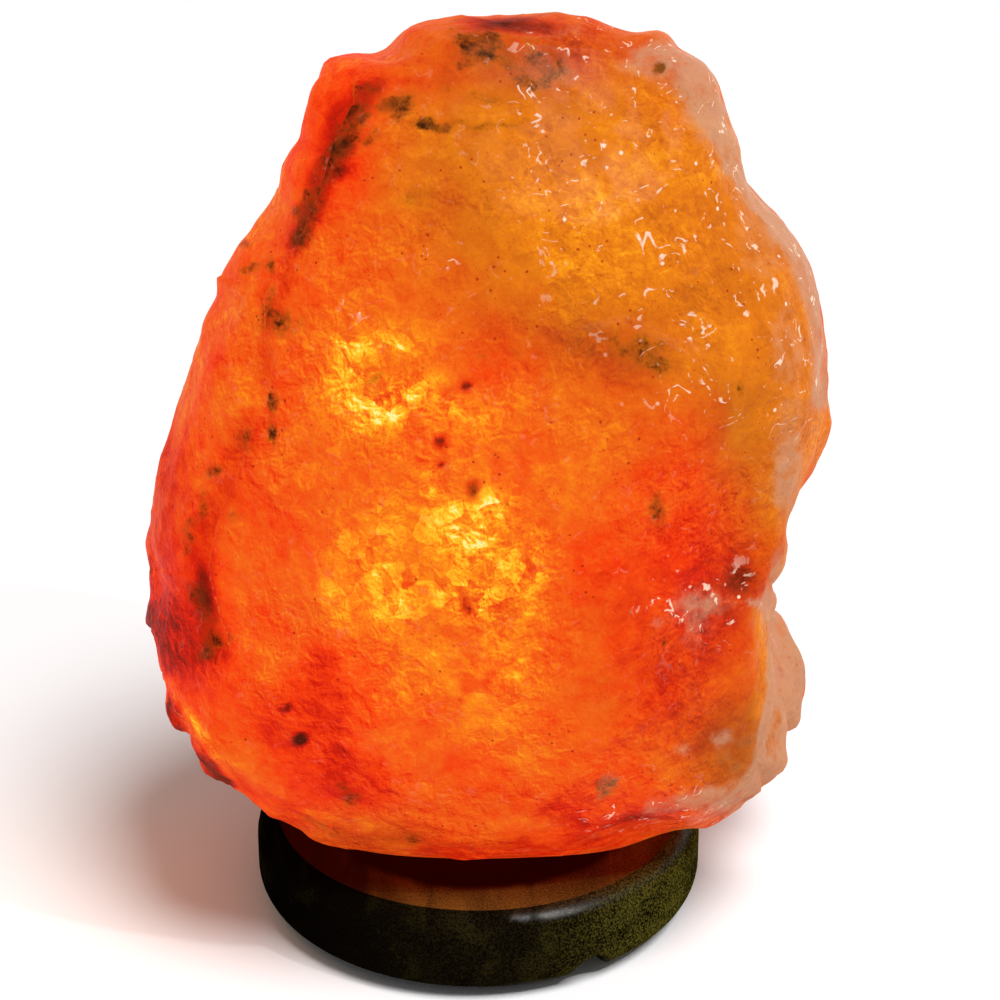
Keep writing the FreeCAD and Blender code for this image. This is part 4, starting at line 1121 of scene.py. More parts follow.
@dataclass
class Crystal:
    """The hewn block of rock salt."""

    width: float = 170.0
    depth: float = 128.0
    height: float = 207.5
    seat: float = 22.5
    bore_radius: float = 22.0
    bore_depth: float = 102.0
    bore_point: float = 13.2
    columns: int = 384
    rows: int = 226
    view: FrontView = FrontView()
    # The sawn foot's reach to the left, right, front and back, and how full its four corners are
    sawn: tuple[float, ...] = (41.0, 47.0, 27.0, 45.0, 1.12, 1.12, 1.00, 1.00)
    # Each station's share of the height, then the same eight numbers, with the reach as a share
    stations: tuple[tuple[float, ...], ...] = (
        (0.040, 0.660, 0.810, 0.610, 0.830, 1.10, 1.12, 1.04, 1.00),
        (0.095, 0.790, 0.905, 0.780, 0.905, 1.10, 1.14, 1.02, 1.04),
        (0.160, 0.885, 0.905, 0.890, 0.955, 1.10, 1.12, 0.98, 1.08),
        (0.240, 0.935, 0.880, 0.955, 0.985, 1.07, 1.12, 0.98, 1.05),
        (0.335, 0.950, 0.860, 0.985, 1.000, 1.06, 1.10, 1.04, 0.98),
        (0.435, 0.925, 0.905, 0.970, 1.000, 1.06, 1.10, 1.06, 0.97),
        (0.535, 0.860, 0.975, 0.920, 0.970, 1.05, 1.08, 1.00, 1.03),
        (0.640, 0.770, 0.975, 0.845, 0.905, 1.06, 1.08, 0.96, 1.10),
        (0.725, 0.675, 0.930, 0.735, 0.830, 1.07, 1.05, 1.00, 1.08),
        (0.810, 0.560, 0.765, 0.625, 0.720, 1.08, 1.05, 1.06, 1.00),
        (0.890, 0.480, 0.695, 0.485, 0.595, 1.08, 1.05, 1.00, 0.98),
        (0.940, 0.425, 0.635, 0.360, 0.500, 1.08, 1.05, 0.98, 1.02),
        (0.973, 0.235, 0.530, 0.235, 0.375, 1.05, 1.05, 1.00, 1.00),
        (0.994, 0.070, 0.280, 0.110, 0.220, 1.00, 1.00, 1.00, 1.00),
    )
    # Each lump's middle and half sizes, as shares of the half width, the half depth and the height
    lumps: tuple[tuple[Point, Point], ...] = (
        ((0.67, 0.34, 0.125), (0.34, 0.47, 0.120)),
        ((0.71, 0.25, 0.520), (0.33, 0.47, 0.150)),
        ((-0.68, 0.10, 0.280), (0.33, 0.53, 0.175)),
    )
    # Each flat's bearing and tilt, in degrees, and how deep it bites
    flats: tuple[tuple[float, float, float], ...] = (
        (-122.0, 10.0, 4.0),
        (-58.0, 2.0, 5.5),
        (-84.0, 40.0, 5.0),
        (168.0, 26.0, 3.0),
        (8.0, 44.0, 2.5),
        (-38.0, -34.0, 5.0),
        (-146.0, -30.0, 4.0),
        (98.0, 6.0, 4.5),
        (52.0, 20.0, 7.0),
        (140.0, 18.0, 6.0),
        (80.0, 48.0, 6.0),
        (-60.0, 78.0, 1.6),
    )
    # Each kind of scar: its size, how dished it is, its seed and its share of the relief
    scars: tuple[tuple[float, float, int, float], ...] = (
        (27.0, 0.45, 11, 0.20),
        (12.0, 0.45, 31, 0.16),
        (5.6, 0.50, 53, 0.11),
    )
    scar_lean: float = 0.55
    grit_size: float = 3.2
    grit_share: float = 0.16
    grit_seed: int = 71
    calm_patch: Spot = Spot(335, 130, 44, 80, 0.65)
    # How wide a lump's join and a flat's edge are, and the reach of a lump on bearings that miss it
    lump_join: float = 2.0
    flat_edge: float = 1.0
    no_lump: float = -20.0
    foot_fade: float = 5.0
    crown_rise: float = 0.4
    sawn_rows: int = 7
    bore_rows: int = 13
    # How squarely the surface faces the camera where ledges or marks begin, and where they are whole
    ledge_front: Place = (-0.35, -0.05)
    mark_front: Place = (-0.12, 0.12)
    # How far the edges of ledges and marks wander in the view, and the sizes of that noise in millimetres
    ledge_wander: Place = (5.0, 9.0)
    mark_wanders: tuple[Place, ...] = ((9.0, 16.0), (4.0, 4.5))
    wander_seed: int = 90
    # Sizes and seeds of the broad, the middling, the lined and the milky patches
    patches: tuple[tuple[float, int], ...] = ((46.0, 120), (24.0, 140), (34.0, 160), (30.0, 180))
    # The way that the painted light on chips comes from
    lit_way: Point = (0.25, -0.2, 0.95)

    def station_rings(self) -> np.ndarray:
        """The block's stations as smooth closed rings through eight points each.

        Returns:
            The rings in millimetres, stations by columns by three.
        """
        half = np.array([self.width / 2, self.width / 2, self.depth / 2, self.depth / 2])
        table = np.array(self.stations)
        left, right, front, back = np.vstack([self.sawn[:4], table[:, 1:5] * half]).T
        corners = np.vstack([self.sawn[4:], table[:, 5:]]) * math.sqrt(0.5)
        front_left, front_right, back_right, back_left = corners.T
        level = self.seat + np.concatenate([[0.0], table[:, 0]]) * self.height
        none = np.zeros_like(left)
        spots = [
            (right, none),
            (right * back_right, back * back_right),
            (none, back),
            (-left * back_left, back * back_left),
            (-left, none),
            (-left * front_left, -front * front_left),
            (none, -front),
            (right * front_right, -front * front_right),
        ]
        rings = np.array([(across, along, level) for across, along in spots])
        return round_through(rings.transpose(0, 2, 1), self.columns).transpose(1, 0, 2)

    def main_form(self) -> np.ndarray:
        """The block between its stations: cubic arcs through the rings, by the length from ring to ring.

        Returns:
            The grid in millimetres, rows by columns by three.
        """
        rings = self.station_rings()
        steps = np.linalg.norm(np.diff(rings, axis=0), axis=-1).mean(axis=1)
        knots = np.concatenate([[0.0], np.cumsum(steps)])
        return through_points(knots, rings, np.linspace(0.0, knots[-1], self.rows))

    def add_lumps(self, grid: np.ndarray) -> np.ndarray:
        """Push the grid out to each lump, level by level: the further of the block's reach and the far side
        of the lump's ellipsoid along the same bearing, with the join rounded.

        Args:
            grid: The block's grid.

        Returns:
            The grid with its lumps.
        """
        scale = np.array([self.width / 2, self.depth / 2, self.height])
        reach = np.hypot(grid[..., 0], grid[..., 1])
        way = grid[..., :2] / np.maximum(reach, 1e-6)[..., None]
        for middle, half in self.lumps:
            centre, radii = np.array(middle) * scale, np.array(half) * scale
            rise = (grid[..., 2] - self.seat - centre[2]) / radii[2]
            squeeze = np.sum((way / radii[:2]) ** 2, axis=-1)
            lean = np.sum(way * centre[:2] / radii[:2] ** 2, axis=-1)
            rest = np.sum((centre[:2] / radii[:2]) ** 2) + rise**2 - 1
            inside = lean**2 - squeeze * rest
            root = np.sign(inside) * np.sqrt(np.abs(inside))
            far = np.where(lean > 0, (lean + root) / squeeze, self.no_lump)
            reach = reach + soft_over(far - reach, self.lump_join)
        return np.concatenate([way * reach[..., None], grid[..., 2:]], axis=-1)

    def split_flats(self, grid: np.ndarray) -> np.ndarray:
        """Press the grid back to the flats where pieces split off: along each flat's normal, what stands
        proud of it goes, with a slightly rounded edge.

        Args:
            grid: The block's grid.

        Returns:
            The grid with its flats.
        """
        for bearing, tilt, bite in self.flats:
            turn, rise = math.radians(bearing), math.radians(tilt)
            level = math.cos(rise)
            out = np.array([level * math.cos(turn), level * math.sin(turn), math.sin(rise)])
            height = grid @ out
            over = soft_over(height - (height.max() - bite), self.flat_edge)
            grid = grid - over[..., None] * out
        return grid

    def hewn_form(self) -> tuple[np.ndarray, np.ndarray]:
        """The outside of the block: main form, lumps and flats, then ledges, swells and scars in three
        sizes, moved along its normal.

        Returns:
            The grid, and the same grid before the scars.
        """
        grid = self.split_flats(self.add_lumps(self.main_form()))
        normal = grid_normals(grid)
        seen = self.view.seen_at(grid)
        ragged = self.wandered(seen, grid, self.ledge_wander)
        front = smooth_step(self.view.facing(grid, normal), *self.ledge_front)
        shaped = sum(swell.strength(seen) for swell in SWELLS)
        shaped += front * sum(ledge.strength(ragged) for ledge in LEDGES)
        fade = np.clip((grid[..., 2] - self.seat) / self.foot_fade, 0.0, 1.0)
        smooth = grid + normal * (shaped * fade)[..., None]
        relief = np.zeros(grid.shape[:2])
        for size, bowl, seed, share in self.scars:
            relief += scoop_scars(grid, size, self.scar_lean, bowl, seed) * share
        relief += layered_noise(grid, self.grit_size, 2, self.grit_seed) * self.grit_share
        calm = 1.0 - front * self.calm_patch.strength(seen)
        return smooth + normal * (relief * fade * calm)[..., None], smooth

    def wandered(self, seen: np.ndarray, grid: np.ndarray, *wanders: Place) -> np.ndarray:
        """Places moved by smooth noise, which makes the edges of what is drawn at them ragged.

        Args:
            seen: Places in the front view.
            grid: The points that are seen there.
            *wanders: How far each noise moves them, and its size in millimetres.

        Returns:
            The moved places.
        """
        for reach, size in wanders:
            seeds = (self.wander_seed, self.wander_seed + 1)
            noise = np.stack([layered_noise(grid, size, 3, seed) for seed in seeds], axis=-1)
            seen = seen + reach * noise
        return seen

    def inner_form(self, outline: np.ndarray) -> np.ndarray:
        """The sawn face, the bore and its drill point, as rows that carry on from the foot's outline: its
        reach shrinks to the bore's, the bore rises, and the point closes in.

        Args:
            outline: The points of the foot's outline.

        Returns:
            The rows.
        """
        reach = np.hypot(outline[:, 0], outline[:, 1])[:, None]
        bearing = np.arctan2(outline[:, 1], outline[:, 0])
        circle = np.stack([np.cos(bearing), np.sin(bearing)], axis=-1)
        radius, top = self.bore_radius, self.seat + self.bore_depth
        shares = np.linspace(0.0, 1.0, self.sawn_rows + 1)[1:]
        levels = np.linspace(self.seat, top, self.bore_rows + 1)[1:]
        rows = [((reach + (radius - reach) * share) * circle, self.seat) for share in shares]
        rows += [(radius * circle, level) for level in levels]
        closing = (0.75, 0.5, 0.25)
        rows += [(radius * share * circle, top + (1 - share) * self.bore_point) for share in closing]
        return np.stack([np.column_stack([flat, np.full(len(flat), level)]) for flat, level in rows])

    def paint(self, grid: np.ndarray, smooth: np.ndarray) -> dict[Mark, np.ndarray]:
        """The numbers painted on the outside: patches all over it, the marks on its front, painted shade as
        less glow on downward faces of its lower half, and painted light on chips, which glow more where
        they lean up.

        Args:
            grid: The outside's points.
            smooth: The same points before the scars.

        Returns:
            Numbers for the points, for each mark.
        """
        normal, calm_normal = grid_normals(grid), grid_normals(smooth)
        front = smooth_step(self.view.facing(smooth, calm_normal), *self.mark_front)
        away = 1.0 - front
        seen = self.wandered(self.view.seen_at(grid), grid, *self.mark_wanders)
        broad, middling, lines, milky = (layered_noise(grid, size, 3, seed) for size, seed in self.patches)
        veins = np.clip(1.0 - np.abs(lines) * 6.0, 0.0, 1.0)
        layers = {
            Mark.GLOW: 0.53 + 0.10 * middling + away * (0.10 * broad - 0.04),
            Mark.GOLD: 0.18 + 0.16 * middling + away * (0.32 + 0.55 * broad),
            Mark.CRUST: away * (0.25 + 0.75 * milky),
            Mark.CLAY: away * veins * np.clip(0.1 + 1.6 * broad + 0.8 * middling, 0.0, 0.6),
            Mark.GLOSS: 0.12 + 0.5 * away * np.clip(middling, 0.0, 1.0),
        }
        for mark, drawn in MARKS.items():
            layers[mark] = layers[mark] + front * sum(shape.strength(seen) for shape in drawn)
        # Painted light: chips that lean towards lit_way glow brighter
        painted_chip_light = (normal - calm_normal) @ np.array(self.lit_way)
        # Painted shade: faces that turn down in the lower half glow less
        under = smooth_step(-normal[..., 2], 0.25, 0.85) * (grid[..., 2] < 0.5 * self.height)
        layers[Mark.GLOW] = layers[Mark.GLOW] + 0.16 * painted_chip_light - 0.15 * under
        return layers

    def build(self) -> None:
        """Make the crystal in the frame's one's place, with a bore that glows, and painted shade on its
        sawn face, which barely glows.
        """
        outside, smooth = self.hewn_form()
        inside = self.inner_form(outside[0])
        bored = (np.arange(len(inside)) >= self.sawn_rows)[::-1, None]
        # Painted shade: the sawn face under the crystal barely glows, while the bore round the bulb glows
        within = {Mark.GLOW: 0.04 + 0.72 * bored, Mark.GOLD: 0.45, Mark.CRUST: 0.15 * bored}
        layers = {}
        for mark, numbers in self.paint(outside, smooth).items():
            hidden = np.broadcast_to(within.get(mark, 0.0), inside.shape[:2])
            layers[mark.value] = np.concatenate([hidden, numbers])
        grid = np.concatenate([inside[::-1], outside])
        apex = (0.0, 0.0, self.seat + self.bore_depth + self.bore_point)
        crown = outside[-1].mean(axis=0) + np.array([0.0, 0.0, self.crown_rise])
        piece = make_piece("hewn_crystal", grid, False, apex, crown, layers)
        settle(piece, "lamp_body", "salt", SaltFinish().build(), "salt_crystal")


# ---------------------------------------------------------------- turned and wound pieces


@dataclass(frozen=True)
class Thread:
    """A thread on a turned piece: the levels it runs between, its pitch and depth, the radii it works on,
    whether it is cut sharp or rolled round, and over how much of its pitch it runs out."""

    low: float
    high: float
    pitch: float
    depth: float
    band: tuple[float, float]
    sharp: bool = False
    run_out: float = 0.6

    def cut(self, radius: np.ndarray, level: np.ndarray, bearing: np.ndarray) -> np.ndarray:
        """Cut the thread: a wave of the level over the pitch less the bearing over a full turn, which runs
        out at both ends.

        Args:
            radius: The piece's radii.
            level: Its levels.
            bearing: Its bearings, one for each column.

        Returns:
            The radii with the thread cut into them.
        """
        turns = level / self.pitch - bearing / TURN
        if self.sharp:
            wave = 4 * np.abs(turns - np.floor(turns) - 0.5) - 1
        else:
            wave = np.cos(TURN * turns)
        run = self.run_out * self.pitch
        fade = smooth_step(level, self.low, self.low + run)
        fade = fade * (1 - smooth_step(level, self.high - run, self.high))
        inside = (radius > self.band[0]) & (radius < self.band[1])
        return radius + inside * fade * 0.5 * self.depth * (wave - 1)


def finely(profile: Sequence[Place], step: float) -> np.ndarray:
    """A profile with more points along its straight runs.

    Args:
        profile: Its corners, as radii and levels.
        step: About how far apart the points are, in millimetres.

    Returns:
        The points' radii and levels.
    """
    corners = np.array(profile, dtype=float)
    runs = []
    for start, end in zip(corners[:-1], corners[1:]):
        count = max(1, round(float(np.linalg.norm(end - start)) / step))
        runs.append(start + (end - start) * np.linspace(0.0, 1.0, count, endpoint=False)[:, None])
    return np.vstack([*runs, corners[-1:]])


def closed(ring: Sequence[Place], step: float = 0.2) -> np.ndarray:
    """A profile that comes back to its start, with more points along its straight runs."""
    return finely([*ring, ring[0]], step)[:-1]


def turned(
    profile: np.ndarray, columns: int = 96, threads: Sequence[Thread] = (), axis: Place = (0.0, 0.0)
) -> np.ndarray:
    """A grid from a profile turned round an upright axis.

    Args:
        profile: Radii and levels, going up on the outside.
        columns: How many points go round.
        threads: The threads cut into it.
        axis: Where the axis stands.

    Returns:
        The grid.
    """
    bearing = np.arange(columns) * TURN / columns
    radius, level = (np.repeat(numbers[:, None], columns, axis=1) for numbers in profile.T)
    for thread in threads:
        radius = thread.cut(radius, level, bearing)
    across, along = axis[0] + radius * np.cos(bearing), axis[1] + radius * np.sin(bearing)
    return np.stack([across, along, level], axis=-1)


def wound(path: np.ndarray, inward: np.ndarray, radius: float, sides: int) -> np.ndarray:
    """A grid for round wire along a path: at each point a circle across the path's direction.

    Args:
        path: The wire's middle line.
        inward: At each point, a way that isn't along the path.
        radius: The wire's radius.
        sides: How many points go round it.

    Returns:
        The grid.
    """
    along = np.gradient(path, axis=0)
    along /= np.linalg.norm(along, axis=1, keepdims=True)
    first = np.cross(along, inward)
    first /= np.linalg.norm(first, axis=1, keepdims=True)
    second = np.cross(along, first)
    turn = np.arange(sides) * TURN / sides
    around = first[:, None] * np.cos(turn)[:, None] + second[:, None] * np.sin(turn)[:, None]
    return path[:, None] + radius * around


@dataclass
class Base:
    """The turned wooden base with its pads, and the screws and plugs that hold the crystal to it."""

    screw_circle: float = 37.0
    screw_bearings: tuple[float, ...] = (90.0, 210.0, 330.0)
    screw_foot: float = 2.0
    screw_length: float = 40.0
    screw_radius: float = 2.25
    screw_tip: float = 6.0
    screw_columns: int = 64
    head_radius: float = 4.5
    thread_start: float = 14.0
    thread_pitch: float = 1.9
    thread_depth: float = 1.0
    recess_depth: float = 1.9
    recess_reach: float = 2.5
    recess_arm: float = 0.55
    recess_middle: float = 0.15
    tip_radius: float = 0.12
    tip_drop: float = 0.1
    face_step: float = 0.13
    shank_step: float = 0.19

    def screw(self, number: int, bearing: float) -> bpy.types.Object:
        """One countersunk wood screw with a cross recess. The head's face is pushed in where a place lies
        within an arm of the cross, less deep further out.

        Args:
            number: Which screw it is.
            bearing: Where it stands on the screws' circle, in degrees.

        Returns:
            The screw.
        """
        turn = math.radians(bearing)
        axis = (self.screw_circle * math.cos(turn), self.screw_circle * math.sin(turn))
        foot, radius, head = self.screw_foot, self.screw_radius, self.head_radius
        top = foot + self.screw_length
        face = finely([(self.recess_middle, foot), (head, foot)], self.face_step)
        outline = [(head, foot), (radius, foot + head - radius)]
        outline += [(radius, top - self.screw_tip), (self.tip_radius, top - self.tip_drop)]
        band = (0.0, radius + 0.05)
        thread = Thread(self.thread_start, top - 0.5, self.thread_pitch, self.thread_depth, band, True)
        profile = np.vstack([face, finely(outline, self.shank_step)[1:]])
        grid = turned(profile, self.screw_columns, [thread], axis)
        offset = np.abs(grid[: len(face), :, :2] - np.array(axis))
        arm = 1.0 - smooth_step(offset.min(axis=-1), 0.6 * self.recess_arm, self.recess_arm)
        deep = np.clip(1.0 - offset.max(axis=-1) / self.recess_reach, 0.0, 1.0) ** 0.5
        grid[: len(face), :, 2] += self.recess_depth * arm * deep
        middle = foot + self.recess_depth
        return make_piece(f"wood_screw_{number}", grid, False, (*axis, middle), (*axis, top))

    def build(self) -> None:
        """Make the screws and give the base, its pads and the plugs their finishes."""
        dress(StainedWood().build(), "wood_base")
        dress(Finish.PAD.build(), "base_feet")
        dress(Finish.NYLON.build(), "wall_plugs")
        zinc = Finish.ZINC.build()
        for number, bearing in enumerate(self.screw_bearings, start=1):
            settle(self.screw(number, bearing), "lamp_body", "zinc_steel", zinc, "base_screws")


@dataclass
class Lampholder:
    """The lampholder unit: plate, nipple and nut, black shell, porcelain block, contacts and clips."""

    nipple_radius: float = 5.0
    nipple_bore: float = 3.6
    nipple_ends: tuple[float, float] = (4.0, 15.0)
    nipple_pitch: float = 1.0
    nipple_chamfer: float = 0.4
    nipple_cut: float = 0.55
    nipple_step: float = 0.12
    nut_ends: tuple[float, float] = (5.5, 8.5)
    nut_flats: float = 14.0
    nut_chamfer: float = 0.55
    nut_face: float = 7.15
    nut_columns: int = 144
    nut_fit: float = 0.05
    shell_ends: tuple[float, float] = (41.0, 58.0)
    shell_radius: float = 7.25
    shell_wall: float = 0.4
    shell_window: float = 3.5
    thread_margins: tuple[float, float] = (1.2, 1.0)
    thread_pitch: float = 2.5
    thread_depth: float = 0.55

    def nipple(self) -> bpy.types.Object:
        """The threaded steel tube that carries the wires up into the holder: a chamfered wall, turned.

        Returns:
            The tube.
        """
        low, high = self.nipple_ends
        bore, radius, chamfer = self.nipple_bore, self.nipple_radius, self.nipple_chamfer
        ring = [(bore, low), (radius - chamfer, low), (radius, low + chamfer)]
        ring += [(radius, high - chamfer), (radius - chamfer, high), (bore, high)]
        thread = Thread(low, high, self.nipple_pitch, self.nipple_cut, (radius - 0.1, radius + 0.1), True)
        return make_piece("threaded_tube", turned(closed(ring, self.nipple_step), threads=[thread]), True)

    def locknut(self) -> bpy.types.Object:
        """The thin hexagonal nut: its side is the lesser of the hexagon and the chamfered round.

        Returns:
            The nut.
        """
        low, high = self.nut_ends
        bore, face = self.nipple_radius + self.nut_fit, self.nut_face
        corner = self.nut_flats / math.sqrt(3.0)
        ring = [(bore, low), (face, low), (corner, low + self.nut_chamfer)]
        ring += [(corner, high - self.nut_chamfer), (face, high), (bore, high)]
        grid = turned(closed(ring), self.nut_columns)
        bearing = np.arctan2(grid[..., 1], grid[..., 0])
        sixth = TURN / 6
        hexagon = 0.5 * self.nut_flats / np.cos(np.mod(bearing, sixth) - sixth / 2)
        reach = np.hypot(grid[..., 0], grid[..., 1])
        grid[..., :2] *= (np.minimum(reach, hexagon) / reach)[..., None]
        return make_piece("hexagon_nut", grid, True)

    def screw_shell(self) -> bpy.types.Object:
        """The rolled brass shell that the bulb screws into, with a window in its floor: a thin wall,
        turned, with a round thread.

        Returns:
            The shell.
        """
        low, high = self.shell_ends
        floor, window = low + self.shell_wall, self.shell_window
        inner, outer = self.shell_radius, self.shell_radius + self.shell_wall
        ring = [(window, low), (outer, low), (outer, high), (inner, high), (inner, floor), (window, floor)]
        band = (inner - 0.1, outer + 0.1)
        start, end = low + self.thread_margins[0], high - self.thread_margins[1]
        thread = Thread(start, end, self.thread_pitch, -self.thread_depth, band)
        return make_piece("rolled_screw_shell", turned(closed(ring), threads=[thread]), True)

    def build(self) -> None:
        """Make the threaded pieces and give the rest their finishes."""
        zinc, brass = Finish.ZINC.build(), Finish.BRASS.build()
        settle(self.nipple(), "lampholder", "zinc_steel", zinc, "threaded_nipple")
        settle(self.locknut(), "lampholder", "zinc_steel", zinc, "plate_locknut")
        settle(self.screw_shell(), "lampholder", "brass", brass, "screw_shell")
        dress(zinc, "holder_plate", "terminal_screws")
        dress(brass, "centre_contact")
        dress(Finish.SHELL.build(), "socket_cap", "socket_sleeve")
        dress(Finish.PORCELAIN.build(), "contact_block")
        dress(Finish.SPRING.build(), "spring_clip_1", "spring_clip_2", "spring_clip_3")


@dataclass
class Bulb:
    """The small clear bulb with its coiled filament."""

    foot: float = 43.4
    radius: float = 14.0
    length: float = 65.0
    wall: float = 0.8
    neck_radius: float = 6.5
    neck_start: float = 10.0
    neck_end: float = 22.0
    cap_wall: float = 0.4
    cap_ends: tuple[float, float] = (3.0, 19.5)
    cap_lip: float = 1.8
    cap_flare: float = 0.5
    cap_fit: float = 0.15
    crown_hole: float = 0.02
    dome_points: int = 40
    thread_margins: tuple[float, float] = (0.8, 1.2)
    thread_pitch: float = 2.5
    thread_depth: float = 0.55
    filament_height: float = 47.0
    filament_reach: float = 8.5
    coil_radius: float = 0.22
    coil_turns: int = 56
    coil_points: int = 14
    coil_wire: float = 0.07
    coil_sides: int = 6

    def envelope(self, inset: float) -> np.ndarray:
        """Half of the glass's outline: the neck, a shoulder tangent to the dome, and the dome.

        Args:
            inset: How far it is moved inwards.

        Returns:
            Radii and levels, from the foot up.
        """
        dome, middle, neck = self.radius - inset, self.length - self.radius, self.neck_radius - inset
        rise = middle - self.neck_end
        lean = math.atan2(rise, neck) - math.acos(dome / math.hypot(rise, neck))
        arc = np.linspace(-lean, 0.5 * math.pi - 0.03, self.dome_points)
        round_part = np.stack([dome * np.cos(arc), middle + dome * np.sin(arc)], axis=-1)
        straight = finely([(neck, self.neck_start), (neck, self.neck_end), tuple(round_part[0])], 1.0)
        return np.vstack([straight[:-1], round_part]) + np.array([0.0, self.foot])

    def glass(self) -> bpy.types.Object:
        """The blown envelope: up its outside, and down its inside, open at the foot.

        Returns:
            The glass.
        """
        outer, inner = self.envelope(0.0), self.envelope(self.wall)
        top = self.foot + self.length
        crown = np.array([[self.crown_hole, top], [self.crown_hole, top - self.wall]])
        return make_piece("blown_bulb", turned(np.vstack([outer, crown, inner[::-1]])), True)

    def cap(self) -> bpy.types.Object:
        """The rolled screw cap, flared where it meets the glass: a thin wall, turned, with a round thread.

        Returns:
            The cap.
        """
        low, high = (self.foot + end for end in self.cap_ends)
        inner, outer = self.neck_radius, self.neck_radius + self.cap_wall
        lip, flare = high - self.cap_lip, self.cap_flare
        ring = [(inner - self.cap_fit, low), (outer, low), (outer, lip), (outer + flare, lip + flare)]
        ring += [(outer + flare, high), (inner + flare, high), (inner + flare, lip + flare)]
        ring += [(inner - self.cap_fit, lip)]
        band = (inner - 0.2, outer + 0.1)
        start, end = low + self.thread_margins[0], lip - self.thread_margins[1]
        thread = Thread(start, end, self.thread_pitch, self.thread_depth, band)
        return make_piece("rolled_bulb_cap", turned(closed(ring), threads=[thread]), True)

    def filament(self) -> bpy.types.Object:
        """The coil: a point that circles a half ring many times on its way from one lead to the other.

        Returns:
            The coil.
        """
        share = np.linspace(0.0, 1.0, self.coil_turns * self.coil_points)
        bearing, spin = math.pi * share, TURN * self.coil_turns * share
        out = np.stack([np.cos(bearing), np.sin(bearing), np.zeros_like(bearing)], axis=-1)
        middle = self.filament_reach * out + np.array([0.0, 0.0, self.foot + self.filament_height])
        inward = out * np.cos(spin)[:, None] + np.array([0.0, 0.0, 1.0]) * np.sin(spin)[:, None]
        path = middle + self.coil_radius * inward
        grid = wound(path, inward, self.coil_wire, self.coil_sides)
        return make_piece("coiled_filament", grid, False, path[0], path[-1])

    def build(self) -> None:
        """Make the glass, the cap and the coil, and give the small parts their finishes."""
        glass, nickel = Finish.GLASS.build(), Finish.NICKEL.build()
        settle(self.glass(), "bulb", "clear_glass", glass, "bulb_glass")
        settle(self.cap(), "bulb", "nickel_cap", Finish.CAP.build(), "bulb_screw_cap")
        settle(self.filament(), "bulb", "filament", GlowingWire().build(), "bulb_filament")
        dress(glass, "bulb_stem")
        dress(nickel, "bulb_lead_wires", "filament_supports")
        dress(Finish.SOLDER.build(), "bulb_foot_contact")
        dress(Finish.VITRITE.build(), "bulb_insulator")


# ---------------------------------------------------------------- studio


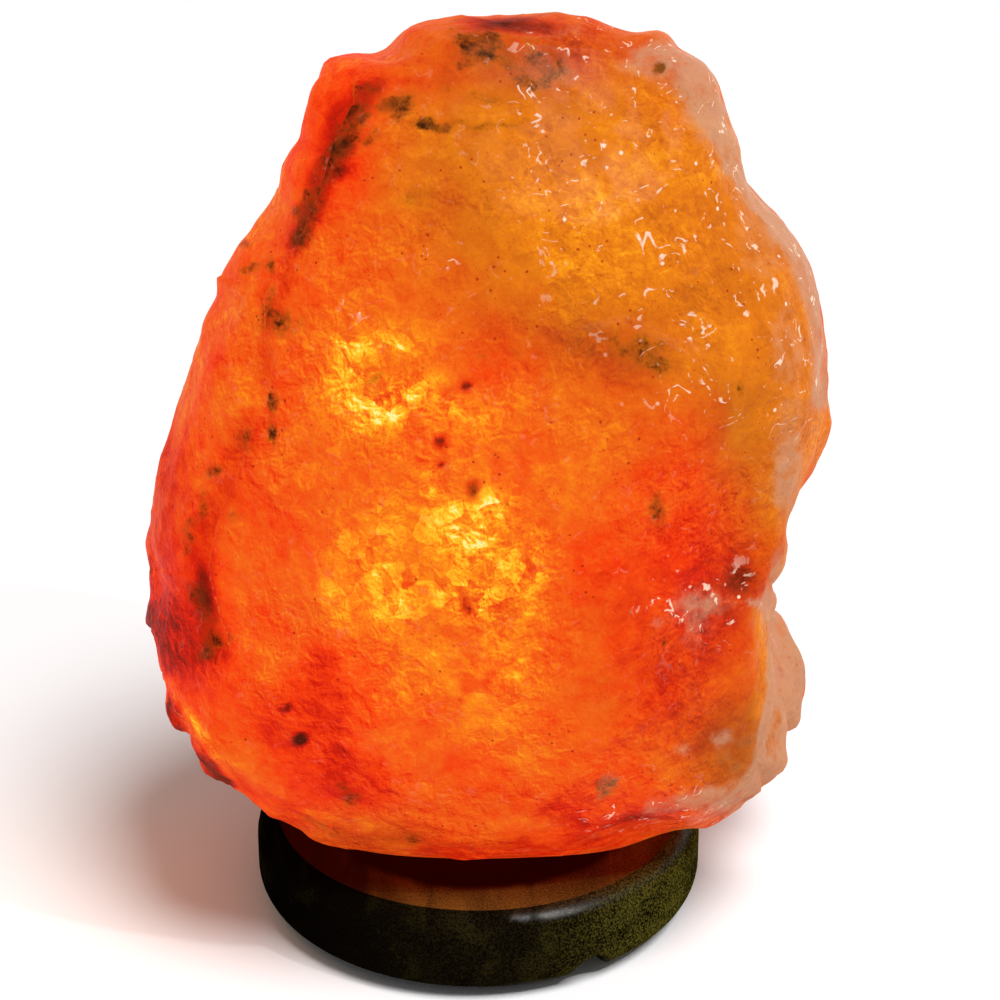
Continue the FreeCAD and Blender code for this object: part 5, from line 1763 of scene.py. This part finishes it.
@dataclass
class Studio:
    """A pale floor, soft light from above, and the camera."""

    view: FrontView = FrontView()
    floor_size: float = 6.0
    floor_colour: Colour = (0.93, 0.93, 0.935)
    sky_light: float = 0.26
    sun_way: Point = (0.29, -0.30, 0.91)
    sun_spread: float = 26.0
    sun_strength: float = 2.75

    def build(self) -> None:
        """Set up the camera, the floor, the sky and the lights."""
        self.camera()
        self.floor()
        self.sky()
        sun_aim = tuple(-part for part in self.sun_way)
        spread = math.radians(self.sun_spread)
        self.light("soft_sun", "SUN", (0.0, 0.0, 0.0), sun_aim, angle=spread, energy=self.sun_strength)
        glint = {"size": 0.035, "energy": 2.0, "color": (1.0, 0.98, 0.98)}
        self.light("small_glint", "AREA", (0.60, -0.42, 0.86), (0.0, 0.0, 0.11), **glint)
        salt = {"size": 0.09, "energy": 0.018, "color": (1.0, 0.40, 0.05)}
        self.light("salt_light", "AREA", (-0.10, -0.02, 0.075), (-0.13, -0.02, 0.0), **salt)
        bpy.context.scene.view_settings.view_transform = "Standard"

    def camera(self) -> None:
        """Stand the camera in front of the lamp, looking down on it."""
        back = Vector(self.view.backwards())
        data = bpy.data.cameras.new("view")
        data.lens = self.view.lens
        data.sensor_width = self.view.sensor
        data.clip_end = 20.0
        camera = add_object("view", data)
        camera.location = (Vector(self.view.look_at) + back * self.view.distance) * MM
        camera.rotation_euler = (-back).to_track_quat("-Z", "Y").to_euler()
        bpy.context.scene.camera = camera

    def floor(self) -> None:
        """Lay a pale sheet under the lamp, which can't be seen from below."""
        half = self.floor_size / 2
        corners = [(-half, -half, 0), (half, -half, 0), (half, half, 0), (-half, half, 0)]
        mesh = bpy.data.meshes.new("floor")
        mesh.from_pydata(corners, [], [(0, 1, 2, 3)])
        sheet = add_object("floor", mesh)
        graph = Graph("pale_floor")
        finish = graph.finish(Base_Color=self.floor_colour, Roughness=0.85, Specular_IOR_Level=0.1)
        mesh.materials.append(finish)
        surface = graph.output.inputs["Surface"]
        shader = Value(graph, surface.links[0].from_socket)
        behind = graph.node("ShaderNodeNewGeometry", {}, {}, "Backfacing")
        clear = graph.node("ShaderNodeBsdfTransparent")
        graph.feed(surface, graph.node("ShaderNodeMixShader", {}, {0: behind, 1: shader, 2: clear}))

    def sky(self) -> None:
        """A plain white sky: full strength where it is seen or mirrored, and weaker as light."""
        world = bpy.data.worlds.new("white_sky")
        world.use_nodes = True
        tree = world.node_tree
        back = tree.nodes["Background"]
        path = tree.nodes.new("ShaderNodeLightPath")
        seen = path.outputs["Is Camera Ray"]
        for kind in ("Is Glossy Ray", "Is Transmission Ray"):
            either = tree.nodes.new("ShaderNodeMath")
            either.operation = "MAXIMUM"
            tree.links.new(seen, either.inputs[0])
            tree.links.new(path.outputs[kind], either.inputs[1])
            seen = either.outputs[0]
        level = tree.nodes.new("ShaderNodeMapRange")
        level.inputs["To Min"].default_value = self.sky_light
        level.inputs["To Max"].default_value = 1.0
        tree.links.new(seen, level.inputs["Value"])
        tree.links.new(level.outputs[0], back.inputs["Strength"])
        back.inputs["Color"].default_value = (1.0, 1.0, 1.0, 1.0)
        bpy.context.scene.world = world

    @staticmethod
    def light(name: str, kind: str, place: Point, aim: Point, **settings: Any) -> None:
        """Add a light.

        Args:
            name: Its name.
            kind: SUN for even light from a patch of the sky, or AREA for a square lamp.
            place: Where it hangs, in metres.
            aim: Where it points, in metres.
            **settings: Its own settings, such as its energy in watts, or watts for each square metre.
        """
        data = bpy.data.lights.new(name, kind)
        for setting, amount in settings.items():
            setattr(data, setting, amount)
        light = add_object(name, data)
        light.location = place
        light.rotation_euler = (Vector(aim) - Vector(place)).to_track_quat("-Z", "Y").to_euler()


def main() -> None:
    """Dress the lamp, piece by piece, and set up the studio."""
    logging.basicConfig(level=logging.INFO, format="%(message)s")
    for group in (Studio(), Crystal(), Base(), Lampholder(), Bulb()):
        group.build()


if __name__ == "__main__":
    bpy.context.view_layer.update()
    main()
